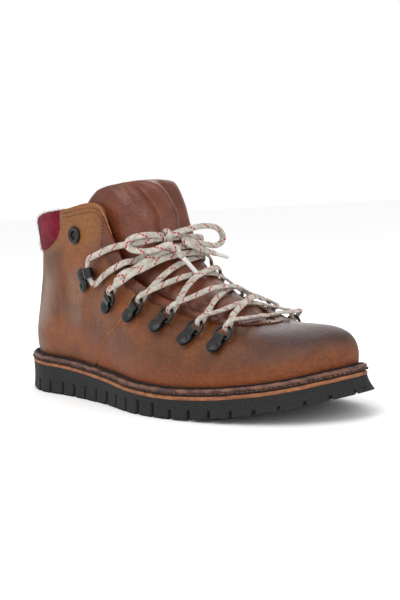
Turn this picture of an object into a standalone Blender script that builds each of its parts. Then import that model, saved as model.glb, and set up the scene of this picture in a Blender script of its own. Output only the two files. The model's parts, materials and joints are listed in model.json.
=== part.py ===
"""Lace-up hiking boot, right foot, as an assembly of separate pieces.

Frame: +X to the toe, +Y to the inner (medial) side, +Z up, floor at z = 0.
Sizes below are millimetres; meshes are written in metres. side is -1 for
the outer (lateral) half of the boot and 1 for the inner (medial) half.
"""
import math

import bmesh
import bpy
import numpy as np
from mathutils import Matrix, Vector

MM = 0.001
GAP = 0.3                    # clearance between pieces that touch

# Sole
SOLE_LENGTH = 306.0
HEEL_WIDTH = 73.5
WAIST_WIDTH = 82.0
BALL_WIDTH = 108.5
TOE_WIDTH = 98.5
TOE_TIP_Y = 6.0
TOE_SPRING = 16.8            # how far the tread rises at the toe tip
SPRING_START = 20.0          # x where the tread leaves the floor
HEEL_BEVEL = 3.0
HEEL_BEVEL_LENGTH = 33.0
HEEL_HEIGHT = 21.6           # top of the outsole at the heel
BALL_HEIGHT = 13.2
TOE_HEIGHT = 26.0
TOE_FLARE = 4.5              # outward lean of the outsole wall at the toe
SIDE_FLARE = 0.8
GROOVE_WIDTH = 3.0
GROOVE_DEPTH = 4.0
GROOVE_PITCH = 15.5
GROOVE_RISE = 9.5
MIDSOLE_THICKNESS = 2.3
RUNNER_THICKNESS = 1.2
WELT_THICKNESS = 2.0
WELT_SHELF = 5.5             # width of welt showing outside the upper
WELT_BAND = 15.0             # full width of the welt strip

# Inside the sole
BOARD_THICKNESS = 2.2
SHANK_LENGTH = 105.0
SHANK_WIDTH = 16.0
SHANK_THICKNESS = 1.2
SHANK_CENTRE_X = -42.0
FOOTBED_THICKNESS = 4.0

# Leather
UPPER_THICKNESS = 2.0
STIFFENER_THICKNESS = 1.2
LINING_THICKNESS = 1.1
LAYER_GAP = 0.65             # cement and slack between the upper's layers
FACING_THICKNESS = 1.0
FACING_WIDTH = 0.12          # share of each rib's height that the facing covers
STAY_THICKNESS = 1.1
TONGUE_THICKNESS = 2.2
COLLAR_HEIGHT = 130.0        # top line at the heel
QUARTER_HEIGHT = 139.0       # top line at the front corner of the quarter
TONGUE_HEIGHT = 157.0
TONGUE_HINGE_HEIGHT = 129.0
PAD_THICKNESS = 6.5
PAD_PROUD = 0.8              # how far the collar pad stands out of the quarter

# Lacing hardware
RING_WIRE = 1.0              # wire radius
RING_HALF_WIDTH = 5.9
RING_LENGTH = 8.2
RING_TILT = 14.0             # degrees the ring stands up from its strap
STRAP_THICKNESS = 0.9
STRAP_HALF_WIDTH = 4.7
SLEEVE_HALF_WIDTH = 3.7
SLEEVE_CLEARANCE = 0.35
STRAP_LENGTH = 7.4           # from the ring's bar to the rivet
EYELET_RADIUS = 6.5
EYELET_HOLE = 3.0
EYELET_RIM = 1.6
HOOK_RIVET_RADIUS = 4.7
HOOK_WIDTH = 9.0
HOOK_THICKNESS = 1.0
HOOK_SEAT = 1.9                # height of the tube's lowest point over the plate
RIVET_SPREAD = 4.9             # each hook rivet's distance from the middle of the plate
HOOK_BORE = 2.6
HOOK_REACH = 14.5            # from the rivets to the middle of the hook's tube
LACE_RADIUS = 1.3
LACE_CLEARANCE = 0.45
AGLET_RADIUS = 1.9
AGLET_LENGTH = 15.0
KNOT = (9.0, -14.0, 115.5)
KNOT_SIZE = (5.7, 4.5, 4.9)  # half its size along x, y and z
LOOP_WIDTH = 14.0
LOOP_LENGTH = 33.0
LOOP_THICKNESS = 1.1
LOOP_TOP = COLLAR_HEIGHT - 7.0

HALF = SOLE_LENGTH / 2.0
STACK = MIDSOLE_THICKNESS + RUNNER_THICKNESS + WELT_THICKNESS + 3 * GAP
STIFFENER_DEPTH = UPPER_THICKNESS + LAYER_GAP
LINING_DEPTH = STIFFENER_DEPTH + STIFFENER_THICKNESS + LAYER_GAP
LINING_INSIDE = LINING_DEPTH + LINING_THICKNESS
TONGUE_DEPTH = 5.6             # depth of the lining's inner face that TONGUE is laid out for
BEND = RING_WIRE + LACE_RADIUS + LACE_CLEARANCE
CROSS_LIFT = 2 * LACE_RADIUS + 0.7
HOOK_CROSS_LIFT = CROSS_LIFT + 1.2

# Ways of the strands from the hooks to the knot, and of the two ends of the bow.
HOOK_TO_KNOT = {
    -1: [(-15.0, -38.5, 111.5), (-5.0, -34.0, 112.5), (1.5, -26.5, 114.0), (5.0, -20.8, 115.2)],
    1: [(-20.0, 38.5, 110.0), (-5.0, 34.0, 112.0), (6.5, 20.0, 113.5), (11.0, 4.0, 114.5),
        (11.5, -7.4, 115.2)],
}
BOW_ENDS = {
    "lace_end_medial": [
        (12.9, -8.6, 118.4), (15.0, -3.0, 119.6), (17.0, 6.0, 121.2), (18.0, 16.0, 121.6),
        (18.5, 25.0, 119.8), (18.5, 31.0, 115.0), (18.0, 31.5, 109.8), (17.5, 26.5, 107.2),
        (18.0, 16.0, 108.2), (17.5, 6.0, 110.4), (16.6, -3.0, 112.6), (17.6, -7.2, 113.0),
        (20.5, -6.0, 110.6), (22.0, 2.0, 106.8), (22.0, 11.0, 104.0), (21.5, 19.0, 101.8)],
    "lace_end_lateral": [
        (5.6, -20.8, 117.4), (1.7, -29.2, 117.8), (-4.3, -34.7, 116.6), (-6.8, -38.2, 113.6),
        (-5.8, -38.4, 110.0), (-0.8, -34.7, 107.4), (5.2, -30.2, 106.8), (11.2, -25.7, 108.2),
        (15.4, -21.8, 110.8), (18.8, -18.8, 109.8), (21.0, -16.8, 105.6), (23.5, -14.6, 101.4)],
}
CORDS = ("lace_run_lateral", "lace_run_medial", "lace_knot", "lace_end_lateral",
         "lace_end_medial", "aglet_lateral", "aglet_medial")

# Half outlines of the sole, heel back to toe tip: place as a share of the half
# length, the width that applies there, and the outer and inner share of it.
OUTLINE = (
    (-1.000, HEEL_WIDTH, 0.000, 0.000), (-0.987, HEEL_WIDTH, 0.143, 0.143),
    (-0.941, HEEL_WIDTH, 0.300, 0.300), (-0.784, HEEL_WIDTH, 0.503, 0.497),
    (-0.523, HEEL_WIDTH, 0.551, 0.497), (-0.196, WAIST_WIDTH, 0.585, 0.415),
    (0.131, BALL_WIDTH, 0.558, 0.369), (0.392, BALL_WIDTH, 0.553, 0.447),
    (0.654, TOE_WIDTH, 0.502, 0.498), (0.850, TOE_WIDTH, 0.335, 0.391),
    (0.954, TOE_WIDTH, 0.152, 0.234), (0.997, TOE_WIDTH, 0.030, 0.132),
)

# Ribs of the upper, heel back to toe tip. Each is a cubic curve that leaves the
# featherline at a share of the half length, rises and bulges by its low handle,
# and reaches its top point against its high handle (an offset from the top).
RIBS = (
    # foot    top x   top y   top z                  rise bulge  high handle
    (-1.000, -0.922,   0.0, COLLAR_HEIGHT,           28.0, 6.0, 13.0,   0.0, -34.0),
    (-0.954, -0.882, -15.5, COLLAR_HEIGHT + 1.0,     28.0, 6.0, 11.0,   4.0, -34.0),
    (-0.771, -0.739, -29.0, COLLAR_HEIGHT + 5.0,     30.0, 6.0,  4.0,   6.0, -38.0),
    (-0.523, -0.497, -35.5, QUARTER_HEIGHT - 0.5,    34.0, 4.0,  2.0,   3.0, -42.0),
    (-0.366, -0.252, -35.0, QUARTER_HEIGHT,          36.0, 2.0, -2.0,  -3.0, -46.0),
    (-0.261, -0.157, -36.0, QUARTER_HEIGHT - 22.0,   32.0, 2.0, -2.0,  -8.0, -34.0),
    (-0.118, -0.059, -36.5, QUARTER_HEIGHT - 45.0,   28.0, 2.0, -3.0, -11.0, -22.0),
    (0.105,   0.118, -34.0, QUARTER_HEIGHT - 62.0,   22.0, 2.5, -1.0, -16.0, -10.0),
    (0.327,   0.288, -30.0, QUARTER_HEIGHT - 72.0,   20.0, 2.5,  1.0, -19.0,  -4.0),
    (0.536,   0.431, -23.0, QUARTER_HEIGHT - 78.2,   18.0, 3.0,  7.0, -20.0,  -2.0),
    (0.706,   0.523, -12.0, QUARTER_HEIGHT - 80.4,   18.0, 3.0, 13.0, -22.0,  -0.5),
    (0.837,   0.588,   3.0, QUARTER_HEIGHT - 81.2,   18.0, 3.0, 20.0, -22.0,   0.0),
    (0.935,   0.686,   5.0, QUARTER_HEIGHT - 81.2,   19.0, 3.5, 26.0, -14.0,   0.0),
    (1.000,   0.797,   6.0, QUARTER_HEIGHT - 81.8,   19.0, 3.5, 25.0,   0.0,   0.0),
)
FIRST_RIDGE_RIB = 11         # from here on both sides end on the closed ridge
CORNER_RIB = 4               # front top corner of the quarter
THROAT_SKEW = 8.0            # the inner throat edge lies this much further back

# Tongue sections, base to top: centre x share, centre z, half width, depth of
# the bend, centre y, tilt of the bend in degrees, straight wrap past the bend.
TONGUE = (
    (0.600, 54.7,  8.0,  0.4, 1.0, 84.0,  0.0),
    (0.560, 54.9,  9.0,  0.6, 0.0, 84.0,  0.0),
    (0.500, 58.3, 11.5,  1.8, -1.0, 78.0,  0.0),
    (0.405, 67.5, 21.0,  8.5, 2.0, 66.0,  0.0),
    (0.281, 77.0, 26.5, 14.0, 1.0, 54.0,  0.0),
    (0.157, 90.0, 30.0, 21.0, 0.0, 38.0,  2.0),
    (0.065, 105.0, 31.0, 29.0, 0.0, 22.0,  8.0),
    (0.033, TONGUE_HEIGHT - 36.0, 30.0, 36.0, 0.0, 8.0, 14.0),
    (0.007, TONGUE_HEIGHT - 20.0, 29.4, 42.0, 0.0, 0.0, 20.0),
    (-0.033, TONGUE_HEIGHT - 8.0, 29.0, 43.0, 0.0, -2.0, 14.0),
    (-0.098, TONGUE_HEIGHT, 26.0, 38.0, 0.0, 0.0, 4.0),
)
TONGUE_WRAP = 0.25           # how far past the bend the wrap reaches, in q

# Seam between vamp and quarter: rib height share and place along the outline
SEAM = ((0.0, 0.349), (0.27, 0.393), (0.5, 0.447), (0.92, 0.476), (1.0, 0.478))
HEEL_SEAM = 0.002               # half width of the gap between the quarters at the heel
SEAM_GAP = 0.0012               # half width of the gap between quarter and vamp
PAD_END = 0.235              # where the padded collar ends, along the outline
PAD_LOW = 0.765              # share of rib height where the pad starts
RING_PLACES = (0.419, 0.511, 0.601, 0.683, 0.752)
RING_HEIGHTS = (0.700, 0.785, 0.775, 0.700, 0.645)
STRAP_SLOPE = (0.0205, 0.165)    # change of place and height, ring over rivet
INNER_SHIFT = 0.048          # the inner row of rings sits this much further back
INNER_DROP = 0.075           # and this much lower, as a share of the rib

PALETTE = {
    "rubber": ((0.022, 0.022, 0.023), 0.7, 0.0),
    "midsole": ((0.42, 0.20, 0.10), 0.6, 0.0),
    "runner": ((0.02, 0.017, 0.015), 0.85, 0.0),
    "welt": ((0.25, 0.13, 0.08), 0.6, 0.0),
    "board": ((0.45, 0.33, 0.2), 0.8, 0.0),
    "cork": ((0.4, 0.25, 0.13), 0.9, 0.0),
    "steel": ((0.45, 0.45, 0.46), 0.35, 1.0),
    "footbed": ((0.5, 0.33, 0.2), 0.6, 0.0),
    "leather": ((0.22, 0.09, 0.043), 0.45, 0.0),
    "red_leather": ((0.17, 0.058, 0.034), 0.4, 0.0),
    "lining": ((0.42, 0.27, 0.17), 0.7, 0.0),
    "stiffener": ((0.6, 0.55, 0.45), 0.8, 0.0),
    "wool": ((0.26, 0.022, 0.058), 0.95, 0.0),
    "black_metal": ((0.02, 0.02, 0.022), 0.35, 0.6),
    "lace": ((0.72, 0.68, 0.62), 0.8, 0.0),
    "aglet": ((0.8, 0.79, 0.76), 0.2, 0.0),
    "webbing": ((0.05, 0.045, 0.04), 0.8, 0.0),
}


# ---------------------------------------------------------------- curves
def smooth(xs, ys, x):
    """Cubic curve through the points (xs, ys) with Catmull-Rom slopes."""
    xs = np.asarray(xs, float)
    ys = np.asarray(ys, float)
    x = np.asarray(x, float)
    slope = np.gradient(ys, xs, axis=0)
    i = np.clip(np.searchsorted(xs, x, side="right") - 1, 0, len(xs) - 2)
    h = xs[i + 1] - xs[i]
    t = np.clip((x - xs[i]) / h, 0, 1)
    if ys.ndim == 2:
        h, t = h[..., None], t[..., None]
    a, b, c, d = ys[i], slope[i] * h, ys[i + 1], slope[i + 1] * h
    return a + b * t + (3 * (c - a) - 2 * b - d) * t**2 + (2 * (a - c) + b + d) * t**3


def arc_share(points):
    """Length along a chain of points, from 0 to 1."""
    steps = np.linalg.norm(np.diff(points, axis=0), axis=1)
    along = np.concatenate([[0.0], np.cumsum(steps)])
    return along / along[-1]


def unit(v):
    return v / np.linalg.norm(v, axis=-1, keepdims=True)


def half_outline(side):
    """Points of one half of the sole outline, heel back to toe tip."""
    rows = [(share * HALF, side * width * (outer if side < 0 else inner))
            for share, width, outer, inner in OUTLINE]
    return np.array(rows + [(HALF, TOE_TIP_Y)])


HALF_OUTLINES = {side: half_outline(side) for side in (-1, 1)}


def padded_outline(side):
    """A half outline with the other half's nearest point at each end, and its
    share of length, so that the curve runs smoothly through both tips."""
    own, other = HALF_OUTLINES[side], HALF_OUTLINES[-side]
    points = np.vstack([other[1], own, other[-2]])
    length = np.linalg.norm(np.diff(own, axis=0), axis=1).sum()
    share = arc_share(own)
    before = -np.linalg.norm(other[1] - own[0]) / length
    after = 1 + np.linalg.norm(other[-2] - own[-1]) / length
    return np.concatenate([[before], share, [after]]), points


PADDED = {side: padded_outline(side) for side in (-1, 1)}


def outline(side, s, inset=0.0):
    """Sole outline and its outward direction at s, 0 heel back to 1 toe tip."""
    share, points = PADDED[side]
    s = np.asarray(s, float)
    step = 0.004
    along = unit(smooth(share, points, s + step) - smooth(share, points, s - step))
    out = side * np.stack([-along[..., 1], along[..., 0]], -1)
    return smooth(share, points, s) - out * inset, out


def tread_height(x):
    """Underside of the sole: flat, rising at the toe and bevelled at the heel."""
    toe = np.clip((x - SPRING_START) / (HALF - SPRING_START), 0, None)
    heel = np.clip((-HALF + HEEL_BEVEL_LENGTH - x) / HEEL_BEVEL_LENGTH, 0, None)
    return TOE_SPRING * toe**2.2 + HEEL_BEVEL * heel**2


def outsole_top(x):
    """Top of the outsole wedge along the boot."""
    places = np.array([-1.0, -0.72, -0.39, -0.13, 0.13, 0.33, 0.59, 0.82, 1.0]) * HALF
    drop = HEEL_HEIGHT - BALL_HEIGHT
    rise = TOE_HEIGHT - BALL_HEIGHT
    heights = BALL_HEIGHT + np.array([drop, 0.93 * drop, 0.64 * drop, 0.29 * drop,
                                      0.05 * drop, 0.0, 0.16 * rise, 0.52 * rise, rise])
    return smooth(places, heights, x)


def featherline_height(x):
    return outsole_top(x) + STACK + GAP


# ---------------------------------------------------------------- upper surface
def rib_tables():
    """Rib rows for each side, and where each rib stands on that side's outline."""
    tables = {}
    for side in (-1, 1):
        rows = np.array(RIBS)
        feet = rows[:, 0] * HALF
        rows[:, 1] *= HALF
        if side > 0:
            open_rows = slice(0, FIRST_RIDGE_RIB)
            centre = np.interp(rows[:, 1], [-0.2 * HALF, 0.55 * HALF], [0.0, 3.0])
            rows[open_rows, 2] = (2 * centre - rows[:, 2])[open_rows]
            rows[CORNER_RIB + 1:FIRST_RIDGE_RIB, 1] -= THROAT_SKEW
            rows[CORNER_RIB, 1] -= THROAT_SKEW / 2
            rows[:, 7] *= -1
        fine = np.linspace(0, 1, 801)
        x = smooth(*PADDED[side], fine)[:, 0]
        stand = np.interp(feet, x, fine)
        stand[0], stand[-1] = 0.0, 1.0
        tables[side] = (stand, rows)
    return tables


TABLES = rib_tables()
PLACES = TABLES[-1][0]       # the outer side's rib places serve as the parameter
PADDED_PLACES = np.concatenate([[-PLACES[1]], PLACES, [2 - PLACES[-2]]])


def padded_rows(side):
    """Rib rows with the other side's nearest row at each end, so that the upper
    runs smoothly round the heel and the toe."""
    own, other = TABLES[side][1], TABLES[-side][1]
    return np.vstack([other[1], own, other[-2]])


PADDED_ROWS = {side: padded_rows(side) for side in (-1, 1)}


def rib(side, r, v):
    """Outer face of the upper: r along the outline, v from featherline to top."""
    stand = TABLES[side][0]
    r, v = np.broadcast_arrays(np.asarray(r, float), np.asarray(v, float))
    row = smooth(PADDED_PLACES, PADDED_ROWS[side], r)
    s = np.interp(r, PLACES, stand) if side < 0 else smooth(PLACES, stand, r)
    foot, out = outline(side, np.clip(s, 0, 1), WELT_SHELF)
    p0 = np.concatenate([foot, featherline_height(foot[..., 0])[..., None]], -1)
    p3 = row[..., 1:4]
    p1 = p0 + np.concatenate([out * row[..., 5:6], row[..., 4:5]], -1)
    p2 = p3 + row[..., 6:9]
    v = v[..., None]
    return p0 * (1 - v)**3 + 3 * p1 * v * (1 - v)**2 + 3 * p2 * v**2 * (1 - v) + p3 * v**3


def rib_normal(side, r, v):
    """Outward direction of the upper's outer face."""
    step = 0.004
    r = np.minimum(r, 1 - 0.03 * v)
    along = rib(side, np.clip(r + step, 0, 1), v) - rib(side, np.clip(r - step, 0, 1), v)
    up = rib(side, r, np.clip(v + step, 0, 1)) - rib(side, r, np.clip(v - step, 0, 1))
    return unit(np.cross(along, up) * -side)


def upper(side, r, v, depth=0.0):
    """Point of the upper, a depth inside its outer face."""
    r, v = np.broadcast_arrays(np.asarray(r, float), np.asarray(v, float))
    return rib(side, r, v) - rib_normal(side, r, v) * depth


def wrap(low, v_low, v_high, depth, columns, rows, high=1.0):
    """Grid of the upper that runs round one end of the boot, from the outer to
    the inner side: round the toe where high is 1, round the heel where low is 0."""
    r = np.linspace(0, 1, columns)[:, None]
    v = np.linspace(0, 1, rows)[None, :]
    halves = []
    for side in (-1, 1):
        from_r, to_r = low(v), high + 0 * v
        rr = from_r + (to_r - from_r) * r
        vv = v_low(rr) + (v_high(rr) - v_low(rr)) * v
        halves.append(upper(side, rr, vv, depth))
    outer, inner = halves
    end = -1 if high == 1.0 else 0
    middle = (outer[end] + inner[end]) / 2
    outer[end] = inner[end] = middle
    ridge = (r[:, 0] * (high - float(low(np.array(1.0)))) + float(low(np.array(1.0)))
             >= PLACES[FIRST_RIDGE_RIB] - 1e-6)
    if high == 1.0 and float(v_high(np.array(1.0))) >= 1.0:
        join = (outer[ridge, -1] + inner[ridge, -1]) / 2
        outer[ridge, -1] = inner[ridge, -1] = join
    if end == -1:
        return np.concatenate([outer, inner[-2::-1]])
    return np.concatenate([outer[:0:-1], inner])


def tongue(t, q, lift=0.0):
    """Outer face of the tongue: t base to top, q across, -1 and 1 at the bends."""
    rows = np.array(TONGUE)
    rows[:, 0] *= HALF
    share = arc_share(rows[:, :2])
    t, q = np.broadcast_arrays(np.asarray(t, float), np.asarray(q, float))
    lift = lift + TONGUE_DEPTH - LINING_INSIDE
    row = smooth(share, rows, t)
    step = 0.001
    a = smooth(share, rows[:, :2], np.clip(t - step, 0, 1))
    b = smooth(share, rows[:, :2], np.clip(t + step, 0, 1))
    along = unit(b - a)
    reach = np.abs(q)
    turn = np.clip(reach, 0, 1) * math.pi / 2
    sag = row[..., 3] * (1 - np.cos(turn))
    sag = sag + np.clip(reach - 1, 0, None) / TONGUE_WRAP * row[..., 6]
    tilt = np.radians(row[..., 5])
    face = np.stack([along[..., 1], -along[..., 0]], -1)
    x = row[..., 0] - np.cos(tilt) * sag + face[..., 0] * np.cos(turn) * lift
    y = row[..., 4] + np.sign(q) * np.sin(turn) * (row[..., 2] + lift)
    z = row[..., 1] - np.sin(tilt) * sag + face[..., 1] * np.cos(turn) * lift
    return np.stack([x, y, z], -1)


# ---------------------------------------------------------------- Blender helpers
def clear_scene():
    for item in list(bpy.data.objects):
        bpy.data.objects.remove(item, do_unlink=True)


def collection(name):
    made = bpy.data.collections.new(name)
    bpy.context.scene.collection.children.link(made)
    return made


def material(name):
    found = bpy.data.materials.get(name)
    if found:
        return found
    colour, rough, metal = PALETTE[name]
    made = bpy.data.materials.new(name)
    made.use_nodes = True
    shader = made.node_tree.nodes["Principled BSDF"]
    shader.inputs["Base Color"].default_value = (*colour, 1.0)
    shader.inputs["Roughness"].default_value = rough
    shader.inputs["Metallic"].default_value = metal
    made.diffuse_color = (*colour, 1.0)
    return made


def place(item, finish, group):
    if finish:
        item.data.materials.append(material(finish))
    group.objects.link(item)
    return item


def mesh_object(name, verts, faces, finish, group, origin=(0, 0, 0)):
    """Mesh from points in millimetres, with its origin at a point of the boot."""
    origin = np.asarray(origin, float)
    mesh = bpy.data.meshes.new(name)
    mesh.from_pydata((np.asarray(verts) - origin) * MM, [], faces)
    work = bmesh.new()
    work.from_mesh(mesh)
    bmesh.ops.remove_doubles(work, verts=work.verts, dist=0.02 * MM)
    bmesh.ops.dissolve_degenerate(work, edges=work.edges, dist=0.01 * MM)
    bmesh.ops.recalc_face_normals(work, faces=work.faces)
    work.to_mesh(mesh)
    work.free()
    mesh.shade_smooth()
    mesh.set_sharp_from_angle(angle=math.radians(40))
    item = bpy.data.objects.new(name, mesh)
    item.location = Vector(origin) * MM
    return place(item, finish, group)


def grid_faces(columns, rows, closed=False):
    faces = []
    for i in range(columns if closed else columns - 1):
        j = (i + 1) % columns
        for k in range(rows - 1):
            faces.append((i * rows + k, j * rows + k, j * rows + k + 1, i * rows + k + 1))
    return faces


def sheet(name, grid, thickness, finish, group, outward, closed=False, origin=(0, 0, 0)):
    """Open grid given its thickness behind its face; outward tells the face's side."""
    columns, rows = grid.shape[:2]
    item = mesh_object(name, grid.reshape(-1, 3), grid_faces(columns, rows, closed),
                       finish, group, origin)
    face = item.data.polygons[len(item.data.polygons) // 2]
    centre = np.array(face.center) / MM + np.asarray(origin, float)
    if np.dot(np.array(face.normal), outward(centre)) < 0:
        item.data.flip_normals()
    wall = item.modifiers.new("thickness", "SOLIDIFY")
    wall.thickness = thickness * MM
    wall.offset = -1.0
    wall.use_even_offset = False
    return item


def away_from_last(point):
    """Direction from the foot's middle line out through a point of the upper."""
    spine = np.array([min(point[0], 0.4 * HALF), 3.0, 45.0 if point[2] < 90 else point[2]])
    if point[0] < -0.2 * HALF:
        spine[0] = -0.55 * HALF
    return point - spine


def upwards(_point):
    return np.array([0.0, 0.0, 1.0])


def tube(name, points, radius, finish, group, closed=False, resolution=2):
    """Round bar along a chain of points in millimetres."""
    curve = bpy.data.curves.new(name, "CURVE")
    curve.dimensions = "3D"
    curve.bevel_depth = radius * MM
    curve.bevel_resolution = resolution
    curve.use_fill_caps = not closed
    spline = curve.splines.new("POLY")
    spline.points.add(len(points) - 1)
    for knot, point in zip(spline.points, points):
        knot.co = (*(np.asarray(point) * MM), 1.0)
    spline.use_cyclic_u = closed
    item = bpy.data.objects.new(name, curve)
    return place(item, finish, group)


def spaced(points, step):
    """Points at an even step along the smooth curve through the given ones."""
    points = np.asarray(points, float)
    chain = smooth(arc_share(points), points, np.linspace(0, 1, 40 * len(points)))
    share = arc_share(chain)
    length = np.linalg.norm(np.diff(chain, axis=0), axis=1).sum()
    count = max(int(round(length / step)), 4) + 1
    even = np.linspace(0, 1, count)
    return np.column_stack([np.interp(even, share, column) for column in chain.T])


# ---------------------------------------------------------------- sole
def deck(inset, height, columns=33, across=3, low=0.0, high=1.0):
    """Grid over the sole inside an inset: along the boot, outer to inner side."""
    s = np.linspace(low, high, columns)
    outer = outline(-1, s, inset)[0]
    inner = outline(1, s, inset)[0]
    w = np.linspace(0, 1, across)[None, :, None]
    flat = outer[:, None] * (1 - w) + inner[:, None] * w
    return np.concatenate([flat, height(flat[..., 0])[..., None]], -1)


def loop(inset, height, columns=37):
    """Closed ring of points round the sole, outer side forward, inner side back."""
    s = np.linspace(0, 1, columns)
    outer = outline(-1, s, inset)[0]
    inner = outline(1, s, inset)[0][-2:0:-1]
    ring = np.concatenate([outer, inner])
    return np.concatenate([ring, height(ring[:, 0])[:, None]], -1)


def flare(x):
    """Outward lean of the outsole's foot, strongest round the toe."""
    toe = np.clip((x - 0.45 * HALF) / (0.45 * HALF), 0, 1)
    return SIDE_FLARE + (TOE_FLARE - SIDE_FLARE) * toe


def outsole(group, cutters):
    columns = 45
    top = loop(0.0, outsole_top, columns)
    foot = loop(0.0, tread_height, columns)
    s = np.linspace(0, 1, columns)
    out = np.concatenate([outline(-1, s)[1], outline(1, s)[1][-2:0:-1]])
    foot[:, :2] += out * flare(foot[:, 0])[:, None]
    rings = [foot.copy(), foot.copy(), top.copy(), top.copy()]
    rings[0][:, :2] -= out * 1.2
    rings[1][:, 2] += 1.2
    rings[2][:, 2] -= 0.6
    rings[3][:, :2] -= out * 0.6
    verts = np.concatenate(rings)
    count = len(top)
    faces = []
    for k in range(3):
        for i in range(count):
            j = (i + 1) % count
            faces.append((k * count + i, k * count + j, (k + 1) * count + j, (k + 1) * count + i))
    for base in (0, 3 * count):
        for i in range(columns - 1):
            a, b = base + i, base + i + 1
            c = base + (count - i - 1 if i < columns - 2 else columns - 1)
            d = base + (count - i if i else 0)
            ring = [a, b, c, d]
            faces.append(tuple(dict.fromkeys(ring)))
    item = mesh_object("outsole", verts, faces, "rubber", group)
    grooves(item, cutters)
    return item


def grooves(item, cutters):
    """Upright notches round the foot of the outsole wall, cut from below."""
    work = bmesh.new()
    for side in (-1, 1):
        points = HALF_OUTLINES[side]
        length = np.linalg.norm(np.diff(points, axis=0), axis=1).sum()
        count = int(length * 0.93 / GROOVE_PITCH)
        for k in range(count):
            s = 0.035 + (k + 0.5) * GROOVE_PITCH / length
            spot, out = outline(side, s)
            lean = float(flare(spot[0]))
            base = float(tread_height(spot[0]))
            room = float(outsole_top(spot[0])) - base - 3.0
            rise = min(GROOVE_RISE, room)
            cube = bmesh.ops.create_cube(work, size=1.0)["verts"]
            scale = Matrix.Diagonal((GROOVE_WIDTH * MM, (GROOVE_DEPTH * 2 + lean) * MM,
                                     (rise + 4.0) * MM, 1.0))
            turn = Matrix.Rotation(math.atan2(out[1], out[0]) - math.pi / 2, 4, "Z")
            middle = Vector((*(spot + out * lean), base + rise / 2 - 2.0)) * MM
            bmesh.ops.transform(work, matrix=Matrix.Translation(middle) @ turn @ scale, verts=cube)
    mesh = bpy.data.meshes.new("groove_cutter")
    work.to_mesh(mesh)
    work.free()
    cutter = bpy.data.objects.new("groove_cutter", mesh)
    cutters.objects.link(cutter)
    cutter.hide_render = True
    cutter.display_type = "WIRE"
    cut = item.modifiers.new("grooves", "BOOLEAN")
    cut.operation = "DIFFERENCE"
    cut.object = cutter


def shank_block(grow):
    """Long flat bar that follows the waist of the sole, grown by a clearance."""
    half_length = SHANK_LENGTH / 2 + grow
    x = np.linspace(SHANK_CENTRE_X - half_length, SHANK_CENTRE_X + half_length, 13)
    half = SHANK_WIDTH / 2 + grow
    y = np.array([-half, 0.0, half]) - 3.0
    xx, yy = np.meshgrid(x, y, indexing="ij")
    zz = shank_top(xx) + grow
    return np.stack([xx, yy, zz], -1)


def shank_top(x):
    return outsole_top(x) + STACK - 1.0


def sole_layers(group, cutters):
    midsole_top = lambda x: outsole_top(x) + GAP + MIDSOLE_THICKNESS
    runner_top = lambda x: midsole_top(x) + GAP + RUNNER_THICKNESS
    welt_top = lambda x: runner_top(x) + GAP + WELT_THICKNESS
    sheet("midsole", deck(0.2, midsole_top), MIDSOLE_THICKNESS, "midsole", group, upwards)
    sheet("runner_layer", deck(0.9, runner_top), RUNNER_THICKNESS, "runner", group, upwards)
    edge = np.stack([loop(inset, welt_top) for inset in (0.3, 0.5 * WELT_BAND, WELT_BAND)], 1)
    sheet("welt", edge, WELT_THICKNESS, "welt", group, upwards, closed=True)
    cork = sheet("cork_filler", deck(WELT_BAND + GAP, welt_top), WELT_THICKNESS, "cork",
                 group, upwards)
    sheet("steel_shank", shank_block(0.0), SHANK_THICKNESS, "steel", group, upwards)
    pocket = sheet("shank_pocket", shank_block(GAP), 6.0, None, cutters, upwards)
    for vertex in pocket.data.vertices:
        vertex.co.z += 3.0 * MM
    pocket.modifiers[0].thickness = (3.0 + SHANK_THICKNESS + 2 * GAP) * MM
    pocket.hide_render = True
    pocket.display_type = "WIRE"
    cut = cork.modifiers.new("shank_pocket", "BOOLEAN")
    cut.operation = "DIFFERENCE"
    cut.object = pocket
    board_top = lambda x: welt_top(x) + GAP + BOARD_THICKNESS
    footbed_top = lambda x: board_top(x) + GAP + FOOTBED_THICKNESS
    inside = WELT_SHELF + LINING_INSIDE + GAP
    sheet("insole_board", deck(inside + 0.2, board_top), BOARD_THICKNESS, "board", group, upwards)
    sheet("footbed", deck(inside + 0.9, footbed_top), FOOTBED_THICKNESS, "footbed", group, upwards)


# ---------------------------------------------------------------- upper
def seam(v, shift=0.0):
    table = np.array(SEAM)
    return smooth(table[:, 0], table[:, 1], v) + shift


def quarter_top(r):
    """Top edge of the quarter: low under the collar pad, full height in front."""
    t = np.clip((r - PAD_END + 0.012) / 0.024, 0, 1)
    return PAD_LOW + (1 - PAD_LOW) * t * t * (3 - 2 * t)


def flat(value):
    return lambda r: value + 0 * r


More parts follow.
